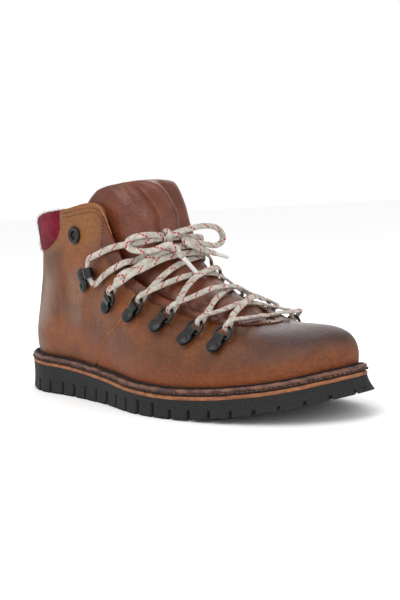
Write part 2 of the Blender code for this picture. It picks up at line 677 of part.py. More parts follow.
def upper_pieces(group):
    sheet("vamp", wrap(lambda v: seam(v, SEAM_GAP), flat(0.0), flat(1.0), 0.0, 21, 9),
          UPPER_THICKNESS, "leather", group, away_from_last)
    for side, name in ((-1, "quarter_lateral"), (1, "quarter_medial")):
        v = np.linspace(0, 1, 9)[None, :]
        share = np.linspace(0, 1, 23)[:, None]
        r = HEEL_SEAM + (seam(v, -SEAM_GAP) - HEEL_SEAM) * share
        sheet(name, upper(side, r, v * quarter_top(r)), UPPER_THICKNESS, "leather", group,
              away_from_last)
    puff_start = PLACES[FIRST_RIDGE_RIB + 1]
    sheet("toe_puff", wrap(flat(puff_start), flat(0.0), flat(1.0), STIFFENER_DEPTH, 11, 9),
          STIFFENER_THICKNESS, "stiffener", group, away_from_last)
    sheet("heel_counter", wrap(flat(0.0), flat(0.0), lambda r: 0.5 - 0.9 * r,
                               STIFFENER_DEPTH, 9, 6, high=0.2),
          STIFFENER_THICKNESS, "stiffener", group, away_from_last)
    lining(group)
    for side, name in ((-1, "facing_lateral"), (1, "facing_medial")):
        r = np.linspace(PLACES[CORNER_RIB + 1] + 0.004, PLACES[FIRST_RIDGE_RIB] - 0.012,
                        18)[:, None]
        v = np.linspace(0, 1, 4)[None, :]
        low = 1 - FACING_WIDTH - 0.06 * np.clip((0.46 - r) / 0.1, 0, 1)
        grid = upper(side, r, low + (0.992 - low) * v, -GAP - FACING_THICKNESS)
        sheet(name, grid, FACING_THICKNESS, "red_leather", group, away_from_last)
    sheet("back_stay", wrap(flat(0.0), flat(0.03), lambda r: 0.5 + 0 * r,
                            -GAP - STAY_THICKNESS, 4, 7, high=0.028),
          STAY_THICKNESS, "leather", group, away_from_last)
    sheet("collar_pad", wrap(flat(0.0), flat(PAD_LOW + 0.008), flat(1.0), -PAD_PROUD, 12, 5,
                             high=PAD_END - 0.019),
          PAD_THICKNESS, "wool", group, away_from_last)


def lining(group):
    """Lining sleeve: both sides from the heel seam to the toe, joined along the ridge."""
    columns, rows = 32, 7
    r = np.linspace(0, 1, columns)[:, None]
    v = np.linspace(0, 1, rows)[None, :]
    throat = PLACES[CORNER_RIB]
    edge = 1 - 0.13 * np.clip((r - throat) / 0.04, 0, 1)
    closing = np.clip((r - PLACES[FIRST_RIDGE_RIB]) /
                      (PLACES[FIRST_RIDGE_RIB + 1] - PLACES[FIRST_RIDGE_RIB]), 0, 1)
    edge = edge + (1 - edge) * closing
    top = np.minimum(edge, quarter_top(r - 0.03) - 0.015 * (r < PAD_END + 0.06))
    grids = [upper(side, r, top * v, LINING_DEPTH) for side in (-1, 1)]
    outer, inner = grids
    for end in (0, -1):
        outer[end] = inner[end] = (outer[end] + inner[end]) / 2
    ridge = r[:, 0] >= PLACES[FIRST_RIDGE_RIB + 1]
    outer[ridge, -1] = inner[ridge, -1] = (outer[ridge, -1] + inner[ridge, -1]) / 2
    ring = np.concatenate([outer, inner[-2:0:-1]])
    sheet("lining", ring, LINING_THICKNESS, "lining", group, away_from_last, closed=True)


# ---------------------------------------------------------------- tongue
def tongue_pieces(group):
    rows = np.array(TONGUE)
    share = arc_share(rows[:, :2] * [HALF, 1])
    hinge = float(np.interp(TONGUE_HINGE_HEIGHT, rows[:, 1], share))
    q = np.linspace(-1 - TONGUE_WRAP, 1 + TONGUE_WRAP, 15)[None, :]
    t = np.linspace(0, 1, 14)[:, None]
    cut = hinge - 0.004
    sheet("tongue", tongue(t * cut, q), TONGUE_THICKNESS, "red_leather", group,
          lambda point: point - np.array([point[0] - 20.0, 0.0, point[2] - 12.0]))
    crown = 1 - 0.16 * np.abs(q / (1 + TONGUE_WRAP))**3
    start = hinge + 0.004
    t = np.linspace(0, 1, 7)[:, None]
    axis = tongue(hinge, 0.0)
    sheet("tongue_top", tongue(start + t * (crown - start), q), TONGUE_THICKNESS, "red_leather",
          group, lambda point: point - np.array([point[0] - 20.0, 0.0, point[2]]),
          origin=(axis[0], 0.0, TONGUE_HINGE_HEIGHT))


# ---------------------------------------------------------------- lacing hardware
def frame_on_upper(side, r, v, toward_r, toward_v, lift):
    """Origin lift above the upper at (r, v); axes along, across and out of it."""
    spot = upper(side, r, v)
    out = rib_normal(side, np.array(r), np.array(v))
    along = upper(side, toward_r, toward_v) - spot
    along = unit(along - out * np.dot(along, out))
    across = np.cross(out, along)
    return spot + out * lift, along, across, out


def in_frame(frame, points):
    """Points given along, across and out of a frame, as points of the boot."""
    spot, along, across, out = frame
    points = np.asarray(points, float)
    return (spot + points[..., 0:1] * along + points[..., 1:2] * across
            + points[..., 2:3] * out)


def ring_frame(side, k):
    """Frame at the middle of ring k's bar, with the ring lying along it."""
    shift = INNER_SHIFT if side > 0 else 0.0
    r, v = RING_PLACES[k] - shift, RING_HEIGHTS[k] - (INNER_DROP if side > 0 else 0.0)
    low_r, low_v = r - STRAP_SLOPE[0], v - STRAP_SLOPE[1]
    toward = upper(side, r, v)
    rivet = upper(side, low_r, low_v)
    out = unit(rib_normal(side, np.array(r), np.array(v))
               + rib_normal(side, np.array((r + low_r) / 2), np.array((v + low_v) / 2)))
    along = toward - rivet
    along = unit(along - out * np.dot(along, out))
    base = toward - along * 4.0
    lift = GAP + FACING_THICKNESS + sleeve_height() + 0.5
    return base + out * lift, along, np.cross(out, along), out


def sleeve_height():
    return RING_WIRE + SLEEVE_CLEARANCE + STRAP_THICKNESS


def ring_outline(count=7):
    """Centre line of a D-shaped ring in its own plane: along and across."""
    half, corner = RING_HALF_WIDTH, 1.5
    bar = [(0.0, -half + corner), (0.0, half - corner)]
    turn = np.linspace(0, math.pi / 2, 3)[1:]
    right = [(corner - corner * math.cos(a), half - corner + corner * math.sin(a)) for a in turn]
    sweep = np.linspace(0, math.pi, count + 2)
    reach = RING_LENGTH - corner
    bow = [(corner + reach * math.sin(a), half * math.cos(a)) for a in sweep[1:-1]]
    left = [(along, -across) for along, across in reversed(right)]
    return np.array(bar + right + bow + left)


def d_ring(name, frame, group):
    tilt = math.radians(RING_TILT)
    flat_ring = ring_outline()
    points = np.column_stack([flat_ring[:, 0] * math.cos(tilt), flat_ring[:, 1],
                              flat_ring[:, 0] * math.sin(tilt)])
    item = tube(name, in_frame(frame, points) - frame[0], RING_WIRE, "black_metal", group,
                closed=True, resolution=2)
    item.location = Vector(frame[0]) * MM
    return item


def strap_path():
    """Folded strap in its own plane: out to the ring's bar, round it and back."""
    mid = RING_WIRE + SLEEVE_CLEARANCE + STRAP_THICKNESS / 2
    low = -mid
    back = low + STRAP_THICKNESS + GAP * 0.8
    tip = -STRAP_LENGTH - STRAP_HALF_WIDTH + 0.4
    path = [(tip, low), (-STRAP_LENGTH, low), (-2.4, low)]
    for a in np.radians(np.linspace(-90, 118, 9)):
        path.append((mid * math.cos(a), mid * math.sin(a)))
    path += [(-3.2, 0.35), (-4.6, back + 0.35), (-STRAP_LENGTH, back + 0.1), (tip, back)]
    return np.array(path)


def strap(name, frame, group):
    """Folded steel strap that holds a ring, round at its riveted end."""
    path = strap_path()
    over = np.clip(-STRAP_LENGTH - path[:, 0], 0, STRAP_HALF_WIDTH - 0.4)
    half = np.sqrt(STRAP_HALF_WIDTH**2 - over**2)
    near = np.clip((path[:, 0] + 4.0) / 1.5, 0, 1)
    half = half + (SLEEVE_HALF_WIDTH - STRAP_HALF_WIDTH) * near
    w = np.linspace(-1, 1, 5)
    along = np.repeat(path[:, None, 0], 5, 1)
    across = half[:, None] * w
    height = np.repeat(path[:, None, 1], 5, 1)
    dome = np.clip(1 - ((along + STRAP_LENGTH)**2 + across**2) / STRAP_HALF_WIDTH**2, 0, 1)
    height[12:] += 0.9 * dome[12:]
    grid = in_frame(frame, np.stack([along, across, height], -1))
    item = mesh_object(name, grid.reshape(-1, 3), grid_faces(len(path), 5), "black_metal", group)
    wall = item.modifiers.new("thickness", "SOLIDIFY")
    wall.thickness = STRAP_THICKNESS * MM
    wall.offset = 0.0
    wall.use_even_offset = True
    return item


def turned(name, frame, profile, finish, group, steps=20, closed=False):
    """Turned piece: a profile of radius and height about a frame's out axis."""
    spot, along, across, out = frame
    mesh = bpy.data.meshes.new(name)
    verts = [(radius * MM, 0.0, height * MM) for radius, height in profile]
    count = len(verts)
    edges = [(i, i + 1) for i in range(count - 1)] + ([(count - 1, 0)] if closed else [])
    mesh.from_pydata(verts, edges, [])
    item = bpy.data.objects.new(name, mesh)
    matrix = Matrix([[along[i], across[i], out[i]] for i in range(3)]).to_4x4()
    item.matrix_world = Matrix.Translation(Vector(spot) * MM) @ matrix
    spin = item.modifiers.new("turn", "SCREW")
    spin.steps = steps
    spin.render_steps = steps
    spin.axis = "Z"
    spin.use_merge_vertices = True
    spin.merge_threshold = 0.00001
    spin.use_smooth_shade = True
    return place(item, finish, group)


def eyelet(side, name, group):
    shift = INNER_SHIFT / 2 if side > 0 else 0.0
    frame = frame_on_upper(side, 0.276 - shift, 0.84, 0.276 - shift, 0.95, GAP)
    r, h, t = EYELET_RADIUS, EYELET_RIM, EYELET_HOLE
    profile = [(t, h * 0.35), (t + 0.8, h * 0.9), (t + 2.0, h), (r - 0.6, h * 0.7), (r, 0.0),
               (t + 0.4, 0.0)]
    return turned(name, frame, profile, "black_metal", group, closed=True)


def hook(side, tag, group):
    """Speed hook: two rivets hold a plate whose front curls into an open tube."""
    shift = INNER_SHIFT / 2 if side > 0 else 0.0
    base = upper(side, 0.302 - shift, 0.56)
    out = rib_normal(side, np.array(0.302 - shift), np.array(0.56))
    front = upper(side, 0.330 - shift, 0.625)
    along = front - base
    along = unit(along - out * np.dot(along, out))
    across = np.cross(out, along)
    frame = (base + out * (GAP + 0.5), along, across, out)
    t = HOOK_THICKNESS
    mid = HOOK_BORE + t / 2
    path = [(-RIVET_SPREAD, t / 2), (0.0, t / 2), (4.5, t / 2), (8.0, t / 2 + 0.6),
            (HOOK_REACH - 3.0, 1.6)]
    for a in np.radians(np.linspace(-70, 150, 8)):
        path.append((HOOK_REACH + mid * math.cos(a), HOOK_SEAT + mid + mid * math.sin(a)))
    path = np.array(path)
    tube = HOOK_WIDTH / 2
    half = np.interp(path[:, 0], [-4.2, -1.0, 4.0, 9.0, 30.0], [3.2, 7.6, 6.0, tube, tube])
    w = np.linspace(-1, 1, 5)
    grid = np.stack([np.repeat(path[:, None, 0], 5, 1), half[:, None] * w,
                     np.repeat(path[:, None, 1], 5, 1)], -1)
    item = mesh_object("hook_" + tag, in_frame(frame, grid).reshape(-1, 3),
                       grid_faces(len(path), 5), "black_metal", group)
    wall = item.modifiers.new("thickness", "SOLIDIFY")
    wall.thickness = t * MM
    wall.offset = 0.0
    wall.use_even_offset = True
    cap = HOOK_RIVET_RADIUS
    profile = [(0.0, 1.9), (cap * 0.45, 1.75), (cap * 0.82, 1.2), (cap, 0.3), (cap * 0.9, 0.0),
               (0.0, 0.0)]
    for place_across, word in ((-RIVET_SPREAD, "low"), (RIVET_SPREAD, "high")):
        spot = in_frame(frame, (0.0, place_across, t + GAP))
        turned("hook_rivet_" + tag + "_" + word, (spot, along, across, out), profile,
               "black_metal", group, steps=16)
    return frame


def hardware(group):
    rings = {}
    hooks = {}
    for side, tag in ((-1, "lateral"), (1, "medial")):
        eyelet(side, "eyelet_" + tag, group)
        hooks[side] = hook(side, tag, group)
        for k in range(len(RING_PLACES)):
            frame = ring_frame(side, k)
            rings[side, k] = frame
            strap("ring_strap_%s_%d" % (tag, k + 1), frame, group)
            d_ring("ring_%s_%d" % (tag, k + 1), frame, group)
    return rings, hooks


# ---------------------------------------------------------------- pull loop
def pull_loop(group):
    """Folded webbing tab, sewn to the back of the collar pad and hanging down the heel."""
    heel = upper(-1, 0.0, np.linspace(1.0, 0.3, 60))
    z = LOOP_TOP - LOOP_LENGTH * np.array([0.0, 0.3, 0.6, 0.85, 0.97])
    x = np.interp(-z, -heel[:, 2], heel[:, 0]) - STAY_THICKNESS - 2 * GAP - LOOP_THICKNESS / 2
    ply = LOOP_THICKNESS + 2 * GAP
    path = np.column_stack([np.concatenate([x, [x[-1] - ply / 2], x[::-1] - ply]),
                            np.concatenate([z, [LOOP_TOP - LOOP_LENGTH], z[::-1]])])
    w = np.linspace(-LOOP_WIDTH / 2, LOOP_WIDTH / 2, 4)
    origin = np.array([x[0] - ply / 2, 0.0, LOOP_TOP])
    grid = np.stack([np.repeat(path[:, None, 0], 4, 1), np.repeat(w[None, :], len(path), 0),
                     np.repeat(path[:, None, 1], 4, 1)], -1) - origin
    item = mesh_object("pull_loop", grid.reshape(-1, 3), grid_faces(len(path), 4), "webbing",
                       group)
    item.location = Vector(origin) * MM
    wall = item.modifiers.new("thickness", "SOLIDIFY")
    wall.thickness = LOOP_THICKNESS * MM
    wall.offset = 0.0


# ---------------------------------------------------------------- laces
def skins():
    """Samples of the leather a lace lies on: points, outward normals, clearance."""
    r, v = np.meshgrid(np.linspace(0.2, 0.97, 110), np.linspace(0.35, 1.0, 45), indexing="ij")
    over = LACE_RADIUS + FACING_THICKNESS + 2.5 * GAP
    found = [(upper(side, r, v), rib_normal(side, r, v), over) for side in (-1, 1)]
    t, q = np.meshgrid(np.linspace(0.02, 0.98, 90), np.linspace(-1.2, 1.2, 41), indexing="ij")
    base = tongue(t, q)
    found.append((base, unit(tongue(t, q, 1.0) - base), LACE_RADIUS + 2 * GAP))
    return [(p.reshape(-1, 3), n.reshape(-1, 3), need) for p, n, need in found]


def lying_on(points, leather):
    """Points of a strand pushed out until the strand lies on the leather."""
    points = np.array(points, float)
    for _ in range(4):
        for spots, normals, need in leather:
            for i, point in enumerate(points):
                away = point - spots
                near = (away**2).sum(1).argmin()
                height = away[near] @ normals[near]
                beside = np.linalg.norm(away[near] - height * normals[near])
                if height < need and height > -9.0 and beside < 2.5:
                    points[i] = point + normals[near] * (need - height)
    return points


def ring_pass(frame, side):
    """Way of the lace through a ring: in over its bow, round the wire, out under it."""
    tilt = math.radians(RING_TILT)
    bow = np.array([math.cos(tilt), 0.0, math.sin(tilt)])
    up = np.array([-math.sin(tilt), 0.0, math.cos(tilt)])
    beside = np.array([0.0, side, 0.0])
    wire = bow * (RING_LENGTH - 0.15)
    way = [wire + 4.0 * bow + (BEND + 0.7) * up + 1.8 * beside,
           wire + 0.4 * bow + BEND * up + 0.5 * beside,
           wire - 0.72 * BEND * bow + 0.72 * BEND * up,
           wire - BEND * bow,
           wire - 0.72 * BEND * bow - 0.72 * BEND * up,
           wire + 0.4 * bow - BEND * up - 0.5 * beside,
           wire + 4.0 * bow - BEND * up - 1.8 * beside]
    return list(in_frame(frame, np.array(way)))


def nearest_t(point, q):
    t = np.linspace(0.05, 0.95, 181)
    return t[np.linalg.norm(tongue(t, q) - point, axis=-1).argmin()]


def crossing(start, end, side, on_top):
    """Points of a strand over the tongue, from a ring on one side to the other side."""
    t0, t1 = nearest_t(start, 0.5 * side), nearest_t(end, -0.5 * side)
    way = []
    for share in (0.3, 0.4, 0.5, 0.6, 0.7):
        q = side * (1 - 2 * share)
        lift = LACE_RADIUS + 1.0
        if on_top:
            lift += CROSS_LIFT * (1 - 0.8 * abs(q))
        way.append(tongue(t0 + (t1 - t0) * share, q, lift))
    return way


def hook_pass(frame, side):
    """Way of the lace through the hook's open tube, from below to above."""
    height = HOOK_SEAT + HOOK_BORE + 0.5
    way = [(HOOK_REACH + 3.0, 9.5 * side, height - 0.6), (HOOK_REACH + 0.6, 5.0 * side, height),
           (HOOK_REACH, 0.0, height), (HOOK_REACH + 0.6, -5.0 * side, height),
           (HOOK_REACH + 4.0, -10.0 * side, height - 0.4)]
    return list(in_frame(frame, np.array(way)))


def thinned(points, slack=0.3, reach=14.0):
    """Polyline with the points left out that lie within slack of a chord."""
    points = np.array(points)
    kept = [0]
    while kept[-1] < len(points) - 1:
        here = kept[-1]
        ahead = here + 1
        for end in range(here + 2, len(points)):
            chord = points[end] - points[here]
            if np.linalg.norm(chord) > reach:
                break
            between = points[here + 1:end] - points[here]
            off = between - np.outer(between @ unit(chord), unit(chord))
            if np.linalg.norm(off, axis=1).max() > slack:
                break
            ahead = end
        kept.append(ahead)
    return points[kept]


def strand(way, leather, raised=0.0):
    """Free strand between fixed ends: laid on the leather, then evened out."""
    leather = [(spots, normals, need + raised) for spots, normals, need in leather]
    points = lying_on(spaced(way, 4.0)[1:-1], leather)
    for _ in range(3):
        points[1:-1] = (points[:-2] + 2 * points[1:-1] + points[2:]) / 4
    return list(thinned(lying_on(points, leather)))


def lace_runs(rings, hooks):
    """The two halves of the laced part, from the middle of the lowest bar up."""
    last = len(RING_PLACES) - 1
    leather = skins()
    first = {side: ring_pass(rings[side, last], side) for side in (-1, 1)}
    middle = (first[-1][0] + first[1][0]) / 2 + np.array([1.0, 0.0, 0.0])
    runs = {}
    for start in (-1, 1):
        way = [middle + unit(first[start][0] - middle) * 0.35]
        way = way + strand([way[0], first[start][0]], leather)
        side = start
        for k in range(last, -1, -1):
            through = ring_pass(rings[side, k], side)
            way += through
            beyond = ring_pass(rings[-side, k - 1], -side) if k else hook_pass(hooks[-side], -side)
            lift = (CROSS_LIFT if k else HOOK_CROSS_LIFT) if start < 0 else 0.0
            way += strand([through[-1]] + crossing(through[-1], beyond[0], side, start < 0)
                          + [beyond[0]], leather, lift)
            side = -side
        through = hook_pass(hooks[side], side)
        way += through + strand([through[-1]] + HOOK_TO_KNOT[side], leather)
        runs[start] = way
    return runs


def laces(group, rings, hooks):
    for start, way in lace_runs(rings, hooks).items():
        tube("lace_run_lateral" if start < 0 else "lace_run_medial", np.array(way), LACE_RADIUS,
             "lace", group)
    work = bmesh.new()
    bmesh.ops.create_uvsphere(work, u_segments=14, v_segments=8, radius=1.0)
    bmesh.ops.scale(work, vec=Vector(KNOT_SIZE) * MM, verts=work.verts)
    mesh = bpy.data.meshes.new("lace_knot")
    work.to_mesh(mesh)
    work.free()
    knot = bpy.data.objects.new("lace_knot", mesh)
    knot.location = Vector(KNOT) * MM
    place(knot, "lace", group)
    for name, way in BOW_ENDS.items():
        points = thinned(spaced(way, 4.0))
        tube(name, points, LACE_RADIUS, "lace", group)
        along = unit(points[-1] - points[-2])
        aglet(name.replace("lace_end", "aglet"), points[-1] + along * GAP, along, group)


def aglet(name, spot, along, group):
    across = unit(np.cross(along, [0.0, 0.0, 1.0]))
    r, length = AGLET_RADIUS, AGLET_LENGTH
    profile = [(0.0, length), (r * 0.6, length), (r * 0.85, length - 0.8), (r * 0.9, 1.0),
               (r, 0.4), (r * 0.9, 0.0), (0.0, 0.0)]
    turned(name, (spot, across, np.cross(along, across), along), profile, "aglet", group, steps=12)


# ---------------------------------------------------------------- assembly
def centre_on_footprint(groups, cords):
    """Move every object so the boot's box, laces aside, is centred over the origin."""
    bpy.context.view_layer.update()
    graph = bpy.context.evaluated_depsgraph_get()
    corners = []
    for item in groups[0].objects:
        if item.name in cords:
            continue
        shape = item.evaluated_get(graph)
        mesh = shape.to_mesh()
        flat_list = np.empty(len(mesh.vertices) * 3)
        mesh.vertices.foreach_get("co", flat_list)
        placed = flat_list.reshape(-1, 3) @ np.array(item.matrix_world)[:3, :3].T
        placed = placed + np.array(item.matrix_world)[:3, 3]
        corners += [placed.min(axis=0), placed.max(axis=0)]
        shape.to_mesh_clear()
    middle = (np.min(corners, axis=0) + np.max(corners, axis=0)) / 2
    for group in groups:
        for item in group.objects:
            item.location.x -= middle[0]
            item.location.y -= middle[1]


def main():
    clear_scene()
    boot = collection("hiking_boot")
    cutters = collection("cutters")
    outsole(boot, cutters)
    sole_layers(boot, cutters)
    upper_pieces(boot)
    tongue_pieces(boot)
    pull_loop(boot)
    rings, hooks = hardware(boot)
    laces(boot, rings, hooks)
    centre_on_footprint((boot, cutters), CORDS)


main()
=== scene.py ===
"""Lace-up hiking boot: the shown surfaces, materials, camera and light.

Frame: +X to the toe, +Y to the inner side, +Z up, floor at z = 0. The shape
formulas work in millimetres; build() turns them into metres in the frame.
"""

import json
import math

import bmesh
import bpy
import numpy as np
from mathutils import Matrix, Vector

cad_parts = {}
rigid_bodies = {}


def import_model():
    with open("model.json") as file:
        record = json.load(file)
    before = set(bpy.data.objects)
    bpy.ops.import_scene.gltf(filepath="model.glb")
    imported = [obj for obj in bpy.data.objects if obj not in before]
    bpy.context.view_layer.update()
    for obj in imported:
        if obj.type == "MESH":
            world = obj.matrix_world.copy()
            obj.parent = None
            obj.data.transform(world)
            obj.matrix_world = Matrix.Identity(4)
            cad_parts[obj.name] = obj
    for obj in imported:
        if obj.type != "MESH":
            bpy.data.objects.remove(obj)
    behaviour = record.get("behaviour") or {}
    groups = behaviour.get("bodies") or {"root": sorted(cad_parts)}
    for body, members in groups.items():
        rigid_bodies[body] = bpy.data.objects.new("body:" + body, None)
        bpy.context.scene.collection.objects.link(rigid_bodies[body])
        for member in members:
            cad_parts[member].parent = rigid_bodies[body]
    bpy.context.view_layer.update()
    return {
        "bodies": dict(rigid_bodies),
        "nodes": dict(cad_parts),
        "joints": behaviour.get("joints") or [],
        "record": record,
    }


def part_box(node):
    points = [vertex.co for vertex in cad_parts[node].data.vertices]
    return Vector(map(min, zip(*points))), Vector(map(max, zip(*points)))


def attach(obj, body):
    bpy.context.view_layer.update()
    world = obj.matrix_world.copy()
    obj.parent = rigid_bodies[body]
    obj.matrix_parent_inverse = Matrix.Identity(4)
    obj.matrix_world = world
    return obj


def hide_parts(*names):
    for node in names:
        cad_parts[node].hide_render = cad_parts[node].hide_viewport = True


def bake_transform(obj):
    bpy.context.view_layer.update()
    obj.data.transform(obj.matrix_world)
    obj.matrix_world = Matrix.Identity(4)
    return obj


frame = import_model()

MM = 0.001
GAP = 0.3                    # clearance between pieces that touch

# Sole
SOLE_LENGTH = 306.0
HEEL_WIDTH = 73.5
WAIST_WIDTH = 82.0
BALL_WIDTH = 108.5
TOE_WIDTH = 98.5
TOE_TIP_Y = 6.0
TOE_SPRING = 16.8            # how far the tread rises at the toe tip
SPRING_START = 20.0          # x where the tread leaves the floor
HEEL_BEVEL = 3.0
HEEL_BEVEL_LENGTH = 33.0
HEEL_HEIGHT = 21.6           # top of the outsole at the heel
BALL_HEIGHT = 13.2
TOE_HEIGHT = 26.0
TOE_FLARE = 4.5              # outward lean of the outsole wall at the toe
SIDE_FLARE = 0.8
GROOVE_PITCH = 15.5
GROOVE_RISE = 9.5
MIDSOLE_THICKNESS = 2.3
RUNNER_THICKNESS = 1.2
WELT_THICKNESS = 2.0
WELT_SHELF = 5.5             # width of welt showing outside the upper
WELT_BAND = 15.0             # full width of the welt strip
WELT_PITCH = 3.1             # from stitch to stitch round the welt
SEAM_PITCH = 2.6             # and along the seams of the upper
TOOTH_PITCH = 2.1            # of the fine teeth between the outsole's grooves

# Leather
UPPER_THICKNESS = 2.0
HIDE_THICKNESS = 1.6         # of the hide itself, seen at its cut edges
STIFFENER_THICKNESS = 1.2
LINING_THICKNESS = 1.1
LAYER_GAP = 0.65             # cement and slack between the upper's layers
FACING_THICKNESS = 1.0
FACING_WIDTH = 0.12          # share of each rib's height that the facing covers
STAY_THICKNESS = 1.1
COLLAR_HEIGHT = 130.0        # top line at the heel
QUARTER_HEIGHT = 139.0       # top line at the front corner of the quarter
TONGUE_HEIGHT = 157.0
TONGUE_HINGE_HEIGHT = 129.0
PAD_THICKNESS = 6.5
FIBRES = 9000                # loose fibres on the felt

# Lacing hardware
RING_WIRE = 1.0              # wire radius
RING_HALF_WIDTH = 5.9
RING_LENGTH = 8.2
RING_TILT = 14.0             # degrees the ring stands up from its strap
STRAP_THICKNESS = 0.9
STRAP_HALF_WIDTH = 4.7
SLEEVE_HALF_WIDTH = 3.7
SLEEVE_CLEARANCE = 0.35
STRAP_LENGTH = 7.4           # from the ring's bar to the rivet
EYELET_RADIUS = 6.5
EYELET_HOLE = 3.0
EYELET_RIM = 1.6
HOOK_RIVET_RADIUS = 4.7
HOOK_THICKNESS = 1.0
HOOK_SEAT = 1.9              # height of the tube's lowest point over the plate
HOOK_RIVET_SPREAD = 4.2      # each hook rivet's distance from the middle of the plate
HOOK_BORE = 2.6
HOOK_REACH = 14.5            # from the rivets to the middle of the hook's tube
LACE_RADIUS = 1.3
LACE_CLEARANCE = 0.45
PINCH_NEAR = 3.2             # from this near a ring's wire the lace is fully gathered,
PINCH_FAR = 7.0              # and from this far it lies flat
KNOT = (9.0, -14.0, 115.5)
LOOP_WIDTH = 14.0
LOOP_LENGTH = 33.0
LOOP_THICKNESS = 1.1
LOOP_TOP = COLLAR_HEIGHT - 7.0

HALF = SOLE_LENGTH / 2.0
STACK = MIDSOLE_THICKNESS + RUNNER_THICKNESS + WELT_THICKNESS + 3 * GAP
STIFFENER_DEPTH = UPPER_THICKNESS + LAYER_GAP
LINING_DEPTH = STIFFENER_DEPTH + STIFFENER_THICKNESS + LAYER_GAP
LINING_INSIDE = LINING_DEPTH + LINING_THICKNESS
TONGUE_DEPTH = 5.6           # depth of the lining's inner face that TONGUE is laid out for
BEND = RING_WIRE + LACE_RADIUS + LACE_CLEARANCE
CROSS_LIFT = 2 * LACE_RADIUS + 0.7
HOOK_CROSS_LIFT = CROSS_LIFT + 1.2

# Ways of the strands from the hooks to the knot, and of the two ends of the bow.
HOOK_TO_KNOT = {
    -1: [(-15.0, -38.5, 111.5), (-5.0, -34.0, 112.5), (1.5, -26.5, 114.0), (5.0, -20.8, 115.2)],
    1: [(-20.0, 38.5, 110.0), (-5.0, 34.0, 112.0), (6.5, 20.0, 113.5), (11.0, 4.0, 114.5),
        (11.5, -7.4, 115.2)],
}
BOW_ENDS = {
    "lace_end_medial": [
        (12.9, -8.6, 118.4), (15.0, -3.0, 119.6), (17.0, 6.0, 121.2), (18.0, 16.0, 121.6),
        (18.5, 25.0, 119.8), (18.5, 31.0, 115.0), (18.0, 31.5, 109.8), (17.5, 26.5, 107.2),
        (18.0, 16.0, 108.2), (17.5, 6.0, 110.4), (16.6, -3.0, 112.6), (17.6, -7.2, 113.0),
        (20.5, -6.0, 110.6), (22.0, 2.0, 106.8), (22.0, 11.0, 104.0), (21.5, 19.0, 101.8)],
    "lace_end_lateral": [
        (5.6, -20.8, 117.4), (1.7, -29.2, 117.8), (-4.3, -34.7, 116.6), (-6.8, -38.2, 113.6),
        (-5.8, -38.4, 110.0), (-0.8, -34.7, 107.4), (5.2, -30.2, 106.8), (11.2, -25.7, 108.2),
        (15.4, -21.8, 110.8), (18.8, -18.8, 109.8), (21.0, -16.8, 105.6), (23.5, -14.6, 101.4)],
}

# Half outlines of the sole, heel back to toe tip: place as a share of the half
# length, the width that applies there, and the outer and inner share of it.
OUTLINE = (
    (-1.000, HEEL_WIDTH, 0.000, 0.000), (-0.987, HEEL_WIDTH, 0.143, 0.143),
    (-0.941, HEEL_WIDTH, 0.300, 0.300), (-0.784, HEEL_WIDTH, 0.503, 0.497),
    (-0.523, HEEL_WIDTH, 0.551, 0.497), (-0.196, WAIST_WIDTH, 0.585, 0.415),
    (0.131, BALL_WIDTH, 0.558, 0.369), (0.392, BALL_WIDTH, 0.553, 0.447),
    (0.654, TOE_WIDTH, 0.502, 0.498), (0.850, TOE_WIDTH, 0.335, 0.391),
    (0.954, TOE_WIDTH, 0.152, 0.234), (0.997, TOE_WIDTH, 0.030, 0.132),
)

# Ribs of the upper, heel back to toe tip. Each is a cubic curve that leaves the
# featherline at a share of the half length, rises and bulges by its low handle,
# and reaches its top point against its high handle (an offset from the top).
RIBS = (
    # foot    top x   top y   top z                  rise bulge  high handle
    (-1.000, -0.922,   0.0, COLLAR_HEIGHT,           28.0, 6.0, 13.0,   0.0, -34.0),
    (-0.954, -0.882, -15.5, COLLAR_HEIGHT + 1.0,     28.0, 6.0, 11.0,   4.0, -34.0),
    (-0.771, -0.739, -29.0, COLLAR_HEIGHT + 5.0,     30.0, 6.0,  4.0,   6.0, -38.0),
    (-0.523, -0.497, -35.5, QUARTER_HEIGHT - 0.5,    34.0, 4.0,  2.0,   3.0, -42.0),
    (-0.366, -0.252, -35.0, QUARTER_HEIGHT,          36.0, 2.0, -2.0,  -3.0, -46.0),
    (-0.261, -0.157, -36.0, QUARTER_HEIGHT - 22.0,   32.0, 2.0, -2.0,  -8.0, -34.0),
    (-0.118, -0.059, -36.5, QUARTER_HEIGHT - 45.0,   28.0, 2.0, -3.0, -11.0, -22.0),
    (0.105,   0.118, -34.0, QUARTER_HEIGHT - 62.0,   22.0, 2.5, -1.0, -16.0, -10.0),
    (0.327,   0.288, -30.0, QUARTER_HEIGHT - 72.0,   20.0, 2.5,  1.0, -19.0,  -4.0),
    (0.536,   0.431, -23.0, QUARTER_HEIGHT - 78.2,   18.0, 3.0,  7.0, -20.0,  -2.0),
    (0.706,   0.523, -12.0, QUARTER_HEIGHT - 80.4,   18.0, 3.0, 13.0, -22.0,  -0.5),
    (0.837,   0.588,   3.0, QUARTER_HEIGHT - 81.2,   18.0, 3.0, 20.0, -22.0,   0.0),
    (0.935,   0.686,   5.0, QUARTER_HEIGHT - 81.2,   19.0, 3.5, 26.0, -14.0,   0.0),
    (1.000,   0.797,   6.0, QUARTER_HEIGHT - 81.8,   19.0, 3.5, 25.0,   0.0,   0.0),
)
FIRST_RIDGE_RIB = 11         # from here on both sides end on the closed ridge
CORNER_RIB = 4               # front top corner of the quarter
THROAT_SKEW = 8.0            # the inner throat edge lies this much further back

